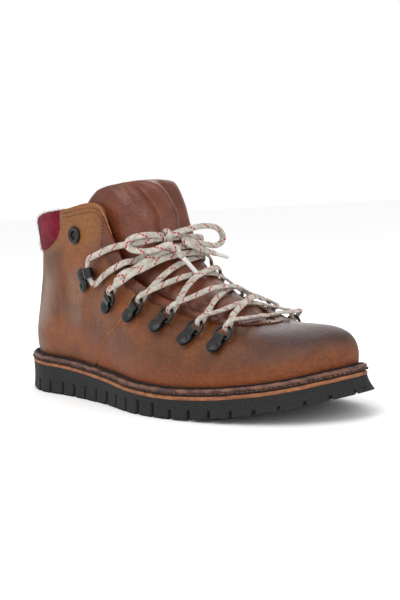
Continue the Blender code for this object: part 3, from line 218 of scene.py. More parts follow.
# Tongue sections, base to top: centre x share, centre z, half width, depth of
# the bend, centre y, tilt of the bend in degrees, straight wrap past the bend.
TONGUE = (
    (0.600, 54.7,  8.0,  0.4, 1.0, 84.0,  0.0),
    (0.560, 54.9,  9.0,  0.6, 0.0, 84.0,  0.0),
    (0.500, 58.3, 11.5,  1.8, -1.0, 78.0,  0.0),
    (0.405, 67.5, 21.0,  8.5, 2.0, 66.0,  0.0),
    (0.281, 77.0, 26.5, 14.0, 1.0, 54.0,  0.0),
    (0.157, 90.0, 30.0, 21.0, 0.0, 38.0,  2.0),
    (0.065, 105.0, 31.0, 29.0, 0.0, 22.0,  8.0),
    (0.033, TONGUE_HEIGHT - 36.0, 30.0, 36.0, 0.0, 8.0, 14.0),
    (0.007, TONGUE_HEIGHT - 20.0, 29.4, 42.0, 0.0, 0.0, 20.0),
    (-0.033, TONGUE_HEIGHT - 8.0, 29.0, 43.0, 0.0, -2.0, 14.0),
    (-0.098, TONGUE_HEIGHT, 26.0, 38.0, 0.0, 0.0, 4.0),
)
TONGUE_WRAP = 0.25           # how far past the bend the wrap reaches, in q
# Folds of the tongue: a line of height shares and q, the width in q and the depth
# in mm. A negative depth is a swell.
TONGUE_FOLDS = (
    (((0.62, -0.30), (0.80, -0.22), (1.00, -0.42)), 0.10, 3.4),
    (((0.60, 0.10), (0.80, 0.16), (1.00, 0.02)), 0.09, 3.0),
    (((0.66, -0.62), (0.85, -0.56), (1.00, -0.66)), 0.10, 1.6),
    (((0.60, -0.10), (0.80, -0.02), (1.00, -0.20)), 0.11, -2.4),
    (((0.60, 0.34), (0.80, 0.36), (1.00, 0.30)), 0.12, -2.0),
    (((0.25, -0.50), (0.45, -0.36), (0.62, -0.50)), 0.12, 1.1),
    (((0.30, 0.00), (0.45, 0.10), (0.60, 0.00)), 0.10, 0.9),
)

# Seam between vamp and quarter: rib height share and place along the outline
SEAM = ((0.0, 0.349), (0.27, 0.393), (0.5, 0.447), (0.92, 0.476), (1.0, 0.478))
PAD_END = 0.235              # where the padded collar ends, along the outline
PAD_LOW = 0.765              # share of rib height where the pad starts
RING_PLACES = (0.419, 0.511, 0.601, 0.683, 0.752)
RING_HEIGHTS = (0.700, 0.785, 0.775, 0.700, 0.645)
STRAP_SLOPE = (0.0205, 0.165)  # change of place and height, ring over rivet
HOOK_PLACE = (0.302, 0.56)   # place along the outline and height share of the hook's
HOOK_TOWARD = (0.330, 0.625)  # rivets, and of a spot on its way to the tube
EYELET_PLACE = (0.276, 0.84)
INNER_SHIFT = 0.048          # the inner row of rings sits this much further back
INNER_DROP = 0.075           # and this much lower, as a share of the rib


# ---------------------------------------------------------------- curves
def smooth(xs, ys, x):
    """Cubic curve through the points (xs, ys) with Catmull-Rom slopes."""
    xs = np.asarray(xs, float)
    ys = np.asarray(ys, float)
    x = np.asarray(x, float)
    slope = np.gradient(ys, xs, axis=0)
    i = np.clip(np.searchsorted(xs, x, side="right") - 1, 0, len(xs) - 2)
    h = xs[i + 1] - xs[i]
    t = np.clip((x - xs[i]) / h, 0, 1)
    if ys.ndim == 2:
        h, t = h[..., None], t[..., None]
    a, b, c, d = ys[i], slope[i] * h, ys[i + 1], slope[i + 1] * h
    return a + b * t + (3 * (c - a) - 2 * b - d) * t**2 + (2 * (a - c) + b + d) * t**3


def lengths(points):
    """Length along a chain of points, up to each of them."""
    steps = np.linalg.norm(np.diff(points, axis=0), axis=1)
    return np.concatenate([[0.0], np.cumsum(steps)])


def arc_share(points):
    """Length along a chain of points, from 0 to 1."""
    along = lengths(points)
    return along / along[-1]


def between(at, places, rows):
    """Rows read off at the places at, straight from each row to the next."""
    return np.column_stack([np.interp(at, places, column) for column in rows.T])


def unit(v):
    """Vectors scaled to length 1."""
    return v / np.linalg.norm(v, axis=-1, keepdims=True)


def half_outline(side):
    """Points of one half of the sole outline, heel back to toe tip."""
    rows = [(share * HALF, side * width * (outer if side < 0 else inner))
            for share, width, outer, inner in OUTLINE]
    return np.array(rows + [(HALF, TOE_TIP_Y)])


HALF_OUTLINES = {side: half_outline(side) for side in (-1, 1)}


def padded_outline(side):
    """A half outline with the other half's nearest point at each end, and its
    share of length, so that the curve runs smoothly through both tips."""
    own, other = HALF_OUTLINES[side], HALF_OUTLINES[-side]
    points = np.vstack([other[1], own, other[-2]])
    length = lengths(own)[-1]
    share = arc_share(own)
    before = -np.linalg.norm(other[1] - own[0]) / length
    after = 1 + np.linalg.norm(other[-2] - own[-1]) / length
    return np.concatenate([[before], share, [after]]), points


PADDED = {side: padded_outline(side) for side in (-1, 1)}


def outline(side, s, inset=0.0):
    """Sole outline and its outward direction at s, 0 heel back to 1 toe tip."""
    share, points = PADDED[side]
    s = np.asarray(s, float)
    step = 0.004
    along = unit(smooth(share, points, s + step) - smooth(share, points, s - step))
    out = side * np.stack([-along[..., 1], along[..., 0]], -1)
    return smooth(share, points, s) - out * inset, out


def tread_height(x):
    """Underside of the sole: flat, rising at the toe and bevelled at the heel."""
    toe = np.clip((x - SPRING_START) / (HALF - SPRING_START), 0, None)
    heel = np.clip((-HALF + HEEL_BEVEL_LENGTH - x) / HEEL_BEVEL_LENGTH, 0, None)
    return TOE_SPRING * toe**2.2 + HEEL_BEVEL * heel**2


def outsole_top(x):
    """Top of the outsole wedge along the boot."""
    places = np.array([-1.0, -0.72, -0.39, -0.13, 0.13, 0.33, 0.59, 0.82, 1.0]) * HALF
    drop = HEEL_HEIGHT - BALL_HEIGHT
    rise = TOE_HEIGHT - BALL_HEIGHT
    heights = BALL_HEIGHT + np.array([drop, 0.93 * drop, 0.64 * drop, 0.29 * drop,
                                      0.05 * drop, 0.0, 0.16 * rise, 0.52 * rise, rise])
    return smooth(places, heights, x)


def featherline_height(x):
    """Level where the upper meets the welt."""
    return outsole_top(x) + STACK + GAP


def rib_tables():
    """Rib rows for each side, and where each rib stands on that side's outline."""
    tables = {}
    for side in (-1, 1):
        rows = np.array(RIBS)
        feet = rows[:, 0] * HALF
        rows[:, 1] *= HALF
        if side > 0:
            open_rows = slice(0, FIRST_RIDGE_RIB)
            centre = np.interp(rows[:, 1], [-0.2 * HALF, 0.55 * HALF], [0.0, 3.0])
            rows[open_rows, 2] = (2 * centre - rows[:, 2])[open_rows]
            rows[CORNER_RIB + 1:FIRST_RIDGE_RIB, 1] -= THROAT_SKEW
            rows[CORNER_RIB, 1] -= THROAT_SKEW / 2
            rows[:, 7] *= -1
        fine = np.linspace(0, 1, 801)
        x = smooth(*PADDED[side], fine)[:, 0]
        stand = np.interp(feet, x, fine)
        stand[0], stand[-1] = 0.0, 1.0
        tables[side] = (stand, rows)
    return tables


TABLES = rib_tables()
PLACES = TABLES[-1][0]       # the outer side's rib places serve as the parameter
PADDED_PLACES = np.concatenate([[-PLACES[1]], PLACES, [2 - PLACES[-2]]])


def padded_rows(side):
    """Rib rows with the other side's nearest row at each end, so that the upper
    runs smoothly round the heel and the toe."""
    own, other = TABLES[side][1], TABLES[-side][1]
    return np.vstack([other[1], own, other[-2]])


PADDED_ROWS = {side: padded_rows(side) for side in (-1, 1)}


def rib(side, r, v):
    """Outer face of the upper: r along the outline, v from featherline to top."""
    stand = TABLES[side][0]
    r, v = np.broadcast_arrays(np.asarray(r, float), np.asarray(v, float))
    row = smooth(PADDED_PLACES, PADDED_ROWS[side], r)
    s = np.interp(r, PLACES, stand) if side < 0 else smooth(PLACES, stand, r)
    foot, out = outline(side, np.clip(s, 0, 1), WELT_SHELF)
    p0 = np.concatenate([foot, featherline_height(foot[..., 0])[..., None]], -1)
    p3 = row[..., 1:4]
    p1 = p0 + np.concatenate([out * row[..., 5:6], row[..., 4:5]], -1)
    p2 = p3 + row[..., 6:9]
    v = v[..., None]
    return p0 * (1 - v)**3 + 3 * p1 * v * (1 - v)**2 + 3 * p2 * v**2 * (1 - v) + p3 * v**3


def rib_normal(side, r, v):
    """Outward direction of the upper's outer face."""
    step = 0.004
    r = np.minimum(r, 1 - 0.03 * v)
    along = rib(side, np.clip(r + step, 0, 1), v) - rib(side, np.clip(r - step, 0, 1), v)
    up = rib(side, r, np.clip(v + step, 0, 1)) - rib(side, r, np.clip(v - step, 0, 1))
    return unit(np.cross(along, up) * -side)


def upper(side, r, v, depth=0.0):
    """Point of the upper, a depth inside its outer face."""
    r, v = np.broadcast_arrays(np.asarray(r, float), np.asarray(v, float))
    return rib(side, r, v) - rib_normal(side, r, v) * depth


def tongue(t, q, lift=0.0):
    """Outer face of the tongue: t base to top, q across, -1 and 1 at the bends."""
    rows = np.array(TONGUE)
    rows[:, 0] *= HALF
    share = arc_share(rows[:, :2])
    t, q = np.broadcast_arrays(np.asarray(t, float), np.asarray(q, float))
    lift = lift + TONGUE_DEPTH - LINING_INSIDE
    row = smooth(share, rows, t)
    step = 0.001
    a = smooth(share, rows[:, :2], np.clip(t - step, 0, 1))
    b = smooth(share, rows[:, :2], np.clip(t + step, 0, 1))
    along = unit(b - a)
    reach = np.abs(q)
    turn = np.clip(reach, 0, 1) * math.pi / 2
    sag = row[..., 3] * (1 - np.cos(turn))
    sag = sag + np.clip(reach - 1, 0, None) / TONGUE_WRAP * row[..., 6]
    tilt = np.radians(row[..., 5])
    face = np.stack([along[..., 1], -along[..., 0]], -1)
    x = row[..., 0] - np.cos(tilt) * sag + face[..., 0] * np.cos(turn) * lift
    y = row[..., 4] + np.sign(q) * np.sin(turn) * (row[..., 2] + lift)
    z = row[..., 1] - np.sin(tilt) * sag + face[..., 1] * np.cos(turn) * lift
    return np.stack([x, y, z], -1)


def spaced(points, step):
    """Points at an even step along the smooth curve through the given ones."""
    points = np.asarray(points, float)
    chain = smooth(arc_share(points), points, np.linspace(0, 1, 40 * len(points)))
    count = max(int(round(lengths(chain)[-1] / step)), 4) + 1
    return between(np.linspace(0, 1, count), arc_share(chain), chain)


def flare(x):
    """Outward lean of the outsole's foot, strongest round the toe."""
    toe = np.clip((x - 0.45 * HALF) / (0.45 * HALF), 0, 1)
    return SIDE_FLARE + (TOE_FLARE - SIDE_FLARE) * toe


def seam(v):
    """Place of the seam between vamp and quarter at height v."""
    table = np.array(SEAM)
    return smooth(table[:, 0], table[:, 1], v)


def quarter_top(r):
    """Top edge of the quarter: low under the collar pad, full height in front."""
    t = np.clip((r - PAD_END + 0.012) / 0.024, 0, 1)
    return PAD_LOW + (1 - PAD_LOW) * t * t * (3 - 2 * t)


def frame_on_upper(side, r, v, toward_r, toward_v, lift):
    """Origin lift above the upper at (r, v); axes along, across and out of it."""
    spot = upper(side, r, v)
    out = rib_normal(side, np.array(r), np.array(v))
    along = upper(side, toward_r, toward_v) - spot
    along = unit(along - out * np.dot(along, out))
    across = np.cross(out, along)
    return spot + out * lift, along, across, out


def in_frame(frame, points):
    """Points given along, across and out of a frame, as points of the boot."""
    spot, along, across, out = frame
    points = np.asarray(points, float)
    return (spot + points[..., 0:1] * along + points[..., 1:2] * across
            + points[..., 2:3] * out)


def ring_frame(side, k):
    """Frame at the middle of ring k's bar, with the ring lying along it."""
    shift = INNER_SHIFT if side > 0 else 0.0
    r, v = RING_PLACES[k] - shift, RING_HEIGHTS[k] - (INNER_DROP if side > 0 else 0.0)
    low_r, low_v = r - STRAP_SLOPE[0], v - STRAP_SLOPE[1]
    toward = upper(side, r, v)
    rivet = upper(side, low_r, low_v)
    out = unit(rib_normal(side, np.array(r), np.array(v))
               + rib_normal(side, np.array((r + low_r) / 2), np.array((v + low_v) / 2)))
    along = toward - rivet
    along = unit(along - out * np.dot(along, out))
    base = toward - along * 4.0
    lift = GAP + FACING_THICKNESS + sleeve_height() + 0.5
    return base + out * lift, along, np.cross(out, along), out


def sleeve_height():
    """Half the height of the strap's sleeve round the ring's bar."""
    return RING_WIRE + SLEEVE_CLEARANCE + STRAP_THICKNESS


def ring_outline(count=7):
    """Centre line of a D-shaped ring in its own plane: along and across."""
    half, corner = RING_HALF_WIDTH, 1.5
    bar = [(0.0, -half + corner), (0.0, half - corner)]
    turn = np.linspace(0, math.pi / 2, 3)[1:]
    right = [(corner - corner * math.cos(a), half - corner + corner * math.sin(a)) for a in turn]
    sweep = np.linspace(0, math.pi, count + 2)
    reach = RING_LENGTH - corner
    bow = [(corner + reach * math.sin(a), half * math.cos(a)) for a in sweep[1:-1]]
    left = [(along, -across) for along, across in reversed(right)]
    return np.array(bar + right + bow + left)


def strap_path():
    """Folded strap in its own plane: out to the ring's bar, round it and back."""
    mid = RING_WIRE + SLEEVE_CLEARANCE + STRAP_THICKNESS / 2
    low = -mid
    back = low + STRAP_THICKNESS + GAP * 0.8
    tip = -STRAP_LENGTH - STRAP_HALF_WIDTH + 0.4
    path = [(tip, low), (-STRAP_LENGTH, low), (-2.4, low)]
    for a in np.radians(np.linspace(-90, 118, 9)):
        path.append((mid * math.cos(a), mid * math.sin(a)))
    path += [(-3.2, 0.35), (-4.6, back + 0.35), (-STRAP_LENGTH, back + 0.1), (tip, back)]
    return np.array(path)


def meet(outer, inner, where):
    """Join the two sides of a grid at the given rows or points, half way between."""
    outer[where] = inner[where] = (outer[where] + inner[where]) / 2


def skins():
    """Samples of the leather a lace lies on: points, outward normals, clearance."""
    r, v = np.meshgrid(np.linspace(0.2, 0.97, 110), np.linspace(0.35, 1.0, 45), indexing="ij")
    over = LACE_RADIUS + FACING_THICKNESS + 2.5 * GAP
    found = [(upper(side, r, v), rib_normal(side, r, v), over) for side in (-1, 1)]
    t, q = np.meshgrid(np.linspace(0.02, 0.98, 90), np.linspace(-1.2, 1.2, 41), indexing="ij")
    base = tongue(t, q)
    found.append((base, unit(tongue(t, q, 1.0) - base), LACE_RADIUS + 2 * GAP))
    return [(p.reshape(-1, 3), n.reshape(-1, 3), need) for p, n, need in found]


def lying_on(points, leather):
    """Points of a strand pushed out until the strand lies on the leather."""
    points = np.array(points, float)
    for _ in range(4):
        for spots, normals, need in leather:
            for i, point in enumerate(points):
                away = point - spots
                near = (away**2).sum(1).argmin()
                height = away[near] @ normals[near]
                beside = np.linalg.norm(away[near] - height * normals[near])
                if height < need and height > -9.0 and beside < 2.5:
                    points[i] = point + normals[near] * (need - height)
    return points


def ring_pass(frame, side):
    """Way of the lace through a ring: in over its bow, round the wire, out under it."""
    tilt = math.radians(RING_TILT)
    bow = np.array([math.cos(tilt), 0.0, math.sin(tilt)])
    up = np.array([-math.sin(tilt), 0.0, math.cos(tilt)])
    beside = np.array([0.0, side, 0.0])
    wire = bow * (RING_LENGTH - 0.15)
    way = [wire + 4.0 * bow + (BEND + 0.7) * up + 1.8 * beside,
           wire + 0.4 * bow + BEND * up + 0.5 * beside,
           wire - 0.72 * BEND * bow + 0.72 * BEND * up,
           wire - BEND * bow,
           wire - 0.72 * BEND * bow - 0.72 * BEND * up,
           wire + 0.4 * bow - BEND * up - 0.5 * beside,
           wire + 4.0 * bow - BEND * up - 1.8 * beside]
    return list(in_frame(frame, np.array(way)))


def nearest_t(point, q):
    """Height share of the tongue nearest to a point, along its line at q."""
    t = np.linspace(0.05, 0.95, 181)
    return t[np.linalg.norm(tongue(t, q) - point, axis=-1).argmin()]


def crossing(start, end, side, on_top):
    """Points of a strand over the tongue, from a ring on one side to the other side."""
    t0, t1 = nearest_t(start, 0.5 * side), nearest_t(end, -0.5 * side)
    way = []
    for share in (0.3, 0.4, 0.5, 0.6, 0.7):
        q = side * (1 - 2 * share)
        lift = LACE_RADIUS + 1.0
        if on_top:
            lift += CROSS_LIFT * (1 - 0.8 * abs(q))
        way.append(tongue(t0 + (t1 - t0) * share, q, lift))
    return way


def hook_pass(frame, side):
    """Way of the lace through the hook's open tube, from below to above."""
    height = HOOK_SEAT + HOOK_BORE + 0.5
    way = [(HOOK_REACH + 3.0, 9.5 * side, height - 0.6), (HOOK_REACH + 0.6, 5.0 * side, height),
           (HOOK_REACH, 0.0, height), (HOOK_REACH + 0.6, -5.0 * side, height),
           (HOOK_REACH + 4.0, -10.0 * side, height - 0.4)]
    return list(in_frame(frame, np.array(way)))


def thinned(points, slack=0.3, reach=14.0):
    """Polyline with the points left out that lie within slack of a chord."""
    points = np.array(points)
    kept = [0]
    while kept[-1] < len(points) - 1:
        here = kept[-1]
        ahead = here + 1
        for end in range(here + 2, len(points)):
            chord = points[end] - points[here]
            if np.linalg.norm(chord) > reach:
                break
            between = points[here + 1:end] - points[here]
            off = between - np.outer(between @ unit(chord), unit(chord))
            if np.linalg.norm(off, axis=1).max() > slack:
                break
            ahead = end
        kept.append(ahead)
    return points[kept]


def strand(way, leather, raised=0.0):
    """Free strand between fixed ends: laid on the leather, then evened out."""
    leather = [(spots, normals, need + raised) for spots, normals, need in leather]
    points = lying_on(spaced(way, 4.0)[1:-1], leather)
    for _ in range(3):
        points[1:-1] = (points[:-2] + 2 * points[1:-1] + points[2:]) / 4
    return list(thinned(lying_on(points, leather)))


def lace_runs(rings, hooks):
    """The two halves of the laced part, from the middle of the lowest bar up."""
    last = len(RING_PLACES) - 1
    leather = skins()
    first = {side: ring_pass(rings[side, last], side) for side in (-1, 1)}
    middle = (first[-1][0] + first[1][0]) / 2 + np.array([1.0, 0.0, 0.0])
    runs = {}
    for start in (-1, 1):
        way = [middle + unit(first[start][0] - middle) * 0.35]
        way = way + strand([way[0], first[start][0]], leather)
        side = start
        for k in range(last, -1, -1):
            through = ring_pass(rings[side, k], side)
            way += through
            beyond = ring_pass(rings[-side, k - 1], -side) if k else hook_pass(hooks[-side], -side)
            lift = (CROSS_LIFT if k else HOOK_CROSS_LIFT) if start < 0 else 0.0
            way += strand([through[-1]] + crossing(through[-1], beyond[0], side, start < 0)
                          + [beyond[0]], leather, lift)
            side = -side
        through = hook_pass(hooks[side], side)
        way += through + strand([through[-1]] + HOOK_TO_KNOT[side], leather)
        runs[start] = way
    return runs


# ---------------------------------------------------------------- placing
def footprint_shift():
    """Metres from the middle of the last's axis to the frame's origin."""
    low, high = (np.array(corner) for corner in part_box("outsole"))
    halves = [outline(side, np.linspace(0, 1, 45)) for side in (-1, 1)]
    rim, out = (np.concatenate(rows) for rows in zip(*halves))
    rim = rim + out * flare(rim[:, 0])[:, None]
    middle = (rim.min(axis=0) + rim.max(axis=0)) / 2
    shift = (low + high) / 2 - np.append(middle, 0.0) * MM
    return np.array([shift[0], shift[1], 0.0])


SHIFT = footprint_shift()


def grid_quads(columns, rows, round_u=False, round_v=False):
    """Faces of a grid of points, wrapped where a direction is closed."""
    u = np.arange(columns if round_u else columns - 1)
    v = np.arange(rows if round_v else rows - 1)
    u, v = np.meshgrid(u, v, indexing="ij")
    up, right = (v + 1) % rows, (u + 1) % columns
    return np.stack([u * rows + v, right * rows + v, right * rows + up, u * rows + up],
                    -1).reshape(-1, 4)


def build(name, points, faces, material, uv=None, slot=None, cad=(), body="boot"):
    """Smooth mesh of quads from points in millimetres, riding on a body."""
    mesh = bpy.data.meshes.new(name)
    points = np.asarray(points, float).reshape(-1, 3) * MM + SHIFT
    faces = np.asarray(faces, np.int32)
    mesh.vertices.add(len(points))
    mesh.vertices.foreach_set("co", points.astype(np.float32).ravel())
    mesh.loops.add(faces.size)
    mesh.loops.foreach_set("vertex_index", faces.ravel())
    mesh.polygons.add(len(faces))
    mesh.polygons.foreach_set("loop_start", np.arange(len(faces), dtype=np.int32) * 4)
    mesh.polygons.foreach_set("loop_total", np.full(len(faces), 4, np.int32))
    mesh.polygons.foreach_set("use_smooth", np.ones(len(faces), bool))
    if uv is not None:
        layer = mesh.uv_layers.new(name="Place")
        flat_uv = np.asarray(uv, float).reshape(-1, 2)[faces.ravel()]
        layer.data.foreach_set("uv", flat_uv.astype(np.float32).ravel())
    mesh.update(calc_edges=True)
    mesh.validate()
    item = bpy.data.objects.new(name, mesh)
    bpy.context.scene.collection.objects.link(item)
    item.data.materials.append(material)
    if cad:
        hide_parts(*cad)
    if body:
        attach(item, body)
    return item


def face_out(item, outward, index):
    """Turn the mesh over if the face at index looks against a direction."""
    face = item.data.polygons[index]
    if np.dot(np.array(face.normal), outward) < 0:
        item.data.flip_normals()


def recalculated(item):
    """The same piece with its normals turned outwards."""
    work = bmesh.new()
    work.from_mesh(item.data)
    bmesh.ops.recalc_face_normals(work, faces=work.faces)
    work.to_mesh(item.data)
    work.free()
    item.data.update()
    return item


def thicken(item, thickness, offset=0.0, edge_width=0.0, angle=60):
    """Give an open sheet a wall, in mm, and round its cut edges where asked."""
    wall = item.modifiers.new("thickness", "SOLIDIFY")
    wall.thickness = thickness * MM
    wall.offset = offset
    if edge_width:
        edge = item.modifiers.new("edge", "BEVEL")
        edge.width = edge_width * MM
        edge.segments = 2
        edge.limit_method = "ANGLE"
        edge.angle_limit = math.radians(angle)


def leather_sheet(name, grid, thickness, material, uv, outward, **more):
    """Grid made solid inwards, with rounded cut edges. outward is one direction
    for its middle face."""
    columns, rows = grid.shape[:2]
    item = build(name, grid, grid_quads(columns, rows), material, uv, **more)
    middle = (columns // 2) * (rows - 1) + rows // 2
    face_out(item, outward, middle)
    thicken(item, thickness, -1.0, min(0.35, thickness * 0.3), 55)
    return item


def lumps(points, size, seed, octaves=3):
    """Smooth random height at points: sums of sines with seeded directions."""
    rng = np.random.default_rng(seed)
    total = np.zeros(points.shape[:-1])
    for octave in range(octaves):
        for _ in range(6):
            way = rng.normal(size=3)
            way *= 2 * math.pi / size * 1.9**octave / np.linalg.norm(way)
            total += np.sin(points @ way + rng.uniform(0, 6.28)) / 1.8**octave / 6
    return total


def bump_step(x, low, high):
    """Smooth step from 0 at low to 1 at high."""
    t = np.clip((x - low) / (high - low), 0, 1)
    return t * t * (3 - 2 * t)


# ---------------------------------------------------------------- shader values
class Value:
    """Shader socket with arithmetic: each operation adds one node."""

    def __init__(self, shader, socket):
        self.shader, self.socket = shader, socket

    def math(self, operation, *others):
        """One Math node on this value and the others."""
        node = self.shader.tree.nodes.new("ShaderNodeMath")
        node.operation = operation
        for slot, value in zip(node.inputs, (self,) + others):
            self.shader.feed(slot, value)
        return Value(self.shader, node.outputs[0])

    def __add__(self, other):
        return self.math("ADD", other)

    def __sub__(self, other):
        return self.math("SUBTRACT", other)

    def __mul__(self, other):
        return self.math("MULTIPLY", other)

    def __rsub__(self, other):
        return (self * -1.0) + other

    __radd__ = __add__
    __rmul__ = __mul__

    def wave(self, period):
        """Sine of this value, from 0 to 1, once per period."""
        return (self * (2 * math.pi / period)).math("SINE") * 0.5 + 0.5

    def within(self, low, high, falling=False):
        """Smooth step from 0 at low to 1 at high, or the other way round."""
        node = self.shader.tree.nodes.new("ShaderNodeMapRange")
        node.interpolation_type = "SMOOTHSTEP"
        self.shader.feed(node.inputs[0], self)
        values = (low, high, 1.0, 0.0) if falling else (low, high, 0.0, 1.0)
        for slot, value in zip(list(node.inputs)[1:5], values):
            slot.default_value = value
        return Value(self.shader, node.outputs[0])


class Shader:
    """Material with one Principled shader and helpers that add its nodes."""

    def __init__(self, name, **inputs):
        self.material = bpy.data.materials.new(name)
        self.material.use_nodes = True
        self.tree = self.material.node_tree
        self.surface = self.tree.nodes["Principled BSDF"]
        for key, value in inputs.items():
            self.set(key.replace("_", " "), value)

    def feed(self, slot, value):
        """Link a value to a socket, or set the socket to a number or colour."""
        if isinstance(value, Value):
            self.tree.links.new(value.socket, slot)
        elif hasattr(slot.default_value, "__len__"):
            slot.default_value = (*value, 1.0)[:len(slot.default_value)]
        else:
            slot.default_value = value

    def set(self, name, value):
        """Feed a socket of the material's own shader."""
        self.feed(self.surface.inputs[name], value)

    def add(self, kind, output, props=None, **inputs):
        """Any other node, by its type, with sockets fed by name."""
        node = self.tree.nodes.new(kind)
        for key, value in (props or {}).items():
            setattr(node, key, value)
        for key, value in inputs.items():
            self.feed(node.inputs[key.replace("_", " ")], value)
        return Value(self, node.outputs[output])

    def object_place(self, stretch=(1, 1, 1)):
        """Place on the boot in metres, stretched along each axis."""
        where = self.add("ShaderNodeTexCoord", "Object")
        return self.add("ShaderNodeMapping", "Vector", Vector=where, Scale=stretch)

    def uv(self):
        """Both coordinates of the piece's own map."""
        where = self.add("ShaderNodeUVMap", "UV", {"uv_map": "Place"})
        node = self.tree.nodes.new("ShaderNodeSeparateXYZ")
        self.feed(node.inputs[0], where)
        return Value(self, node.outputs[0]), Value(self, node.outputs[1])

    def noise(self, scale, detail, stretch=(1, 1, 1)):
        """Cloudy noise, 0 to 1, with so many lumps to the metre."""
        return self.add("ShaderNodeTexNoise", "Fac", Vector=self.object_place(stretch),
                        Scale=scale, Detail=detail, Roughness=0.55)

    def cells(self, scale):
        """Pebbles: the distance from the middle of the nearest cell."""
        return self.add("ShaderNodeTexVoronoi", "Distance", Vector=self.object_place(),
                        Scale=scale)

    def mix(self, share, first, second):
        """Colour that goes from first to second as share goes from 0 to 1."""
        node = self.tree.nodes.new("ShaderNodeMix")
        node.data_type = "RGBA"
        self.feed(node.inputs[0], share)
        self.feed(node.inputs[6], first)
        self.feed(node.inputs[7], second)
        return Value(self, node.outputs[2])

    def relief(self, *layers):
        """Bumps laid on one another: pairs of height value and depth in metres."""
        normal = None
        for height, depth in layers:
            node = self.tree.nodes.new("ShaderNodeBump")
            node.inputs["Distance"].default_value = depth
            self.feed(node.inputs["Height"], height)
            if normal:
                self.feed(node.inputs["Normal"], normal)
            normal = Value(self, node.outputs[0])
        self.set("Normal", normal)


def rgb(red, green, blue):
    """Linear colour from the usual 0 to 255 display values."""
    def linear(c):
        c /= 255.0
        return c / 12.92 if c <= 0.04045 else ((c + 0.055) / 1.055)**2.4
    return linear(red), linear(green), linear(blue)


# ---------------------------------------------------------------- materials
def tan_leather():
    """Waxed pull-up leather: mottled tan, burnished toe and heel, orange by the welt, with painted
    sheen on the toe's ridge and in pale bands at the back.
    """
    m = Shader("tan_leather", Specular_IOR_Level=0.3)
    r, v = m.uv()
    cloud = m.noise(26.0, 4.0)
    blotch = m.noise(9.0, 3.0)
    stroke = m.noise(34.0, 4.0, (1.0, 1.0, 0.3))
    fine = m.noise(420.0, 3.0)
    base = m.mix(cloud.within(0.3, 0.72), rgb(82, 41, 16), rgb(132, 74, 34))
    base = m.mix(blotch.within(0.40, 0.66) * 0.6, base, rgb(62, 31, 16))
    base = m.mix(stroke.within(0.5, 0.75) * 0.35, base, rgb(132, 80, 46))
    high = v.within(0.72, 0.82) * r.within(0.3, 0.36, falling=True)
    base = m.mix(high * 0.75, base, rgb(134, 84, 40))
    low = (v + (cloud - 0.5) * 0.16).within(0.02, 0.34, falling=True)
    low = low * (r + (blotch - 0.5) * 0.1).within(0.2, 0.42)
    base = m.mix(low * 0.75, base, rgb(128, 62, 18))
    toe = (r + (v - 0.5) * 0.10 + (blotch - 0.5) * 0.10).within(0.79, 0.885)
    toe = toe * (v + (cloud - 0.5) * 0.22).within(0.2, 0.52)
    base = m.mix(toe * 0.95, base, rgb(46, 21, 16))
    # Painted sheen: a grey highlight along the top ridge of the toe.
    ridge = (v + (cloud - 0.5) * 0.12).within(0.86, 1.0)
    ridge = ridge * (r + (blotch - 0.5) * 0.06).within(0.77, 0.85)
    base = m.mix(ridge * 0.5, base, rgb(96, 84, 80))
    heel = (r + (blotch - 0.5) * 0.12).within(0.02, 0.2, falling=True)
    heel = heel * (v + (cloud - 0.5) * 0.35).within(0.3, 0.9, falling=True)
    base = m.mix(heel * 0.72, base, rgb(52, 36, 36))
    # Painted sheen: pale grey bands up the back of the quarter, a stronger and a fainter one.
    back = r + (stroke - 0.5) * 0.10
    sheen_bands = back.within(0.10, 0.14) * back.within(0.17, 0.22, falling=True)
    fainter = back.within(0.235, 0.265) * back.within(0.28, 0.31, falling=True) * 0.6
    sheen_bands = sheen_bands.math("MAXIMUM", fainter)
    upright = v + (blotch - 0.5) * 0.3
    sheen_bands = sheen_bands * upright.within(0.14, 0.3) * upright.within(0.5, 0.72, falling=True)
    base = m.mix(sheen_bands * 0.5, base, rgb(124, 106, 92))
    edge = v.within(0.0, 0.035, falling=True)
    base = m.mix(edge * 0.7, base, rgb(40, 22, 15))
    grain = fine.within(0.35, 0.7)
    base = m.mix(grain * 0.35, base, rgb(50, 24, 14))
    specks = m.noise(900.0, 2.0).within(0.6, 0.75)
    base = m.mix(specks * 0.14, base, rgb(190, 140, 98))
    m.set("Base Color", base)
    m.set("Roughness", 0.40 + cloud * 0.2 - toe * 0.06)
    m.set("Coat Weight", toe * 0.25 + sheen_bands * 0.2 + ridge * 0.2)
    m.set("Coat Roughness", 0.38)
    pebble = m.cells(1000.0)
    crease = m.noise(70.0, 5.0)
    m.relief((crease, 0.0008), (pebble, 0.00016), (fine, 0.00016))
    return m.material


def red_leather():
    """Glossier red-brown leather of the tongue and facing strips."""
    m = Shader("red_leather", Specular_IOR_Level=0.38)
    cloud = m.noise(30.0, 4.0)
    fine = m.noise(300.0, 3.0)
    base = m.mix(cloud.within(0.3, 0.75), rgb(74, 30, 11), rgb(112, 52, 23))
    base = m.mix(fine.within(0.4, 0.75) * 0.3, base, rgb(60, 26, 18))
    m.set("Base Color", base)
    m.set("Roughness", 0.36 + cloud * 0.16)
    m.set("Coat Weight", cloud.within(0.35, 0.65) * 0.2)
    m.set("Coat Roughness", 0.2)
    m.relief((m.noise(60.0, 4.0), 0.0009), (m.cells(620.0), 0.00028))
    return m.material


def rubber():
    """Matte black rubber with a moulded grain."""
    m = Shader("black_rubber", Specular_IOR_Level=0.3)
    grain = m.noise(1100.0, 3.0)
    m.set("Base Color", m.mix(grain.within(0.35, 0.7), rgb(21, 20, 21), rgb(37, 36, 37)))
    m.set("Roughness", 0.78)
    m.relief((grain, 0.00012))
    return m.material


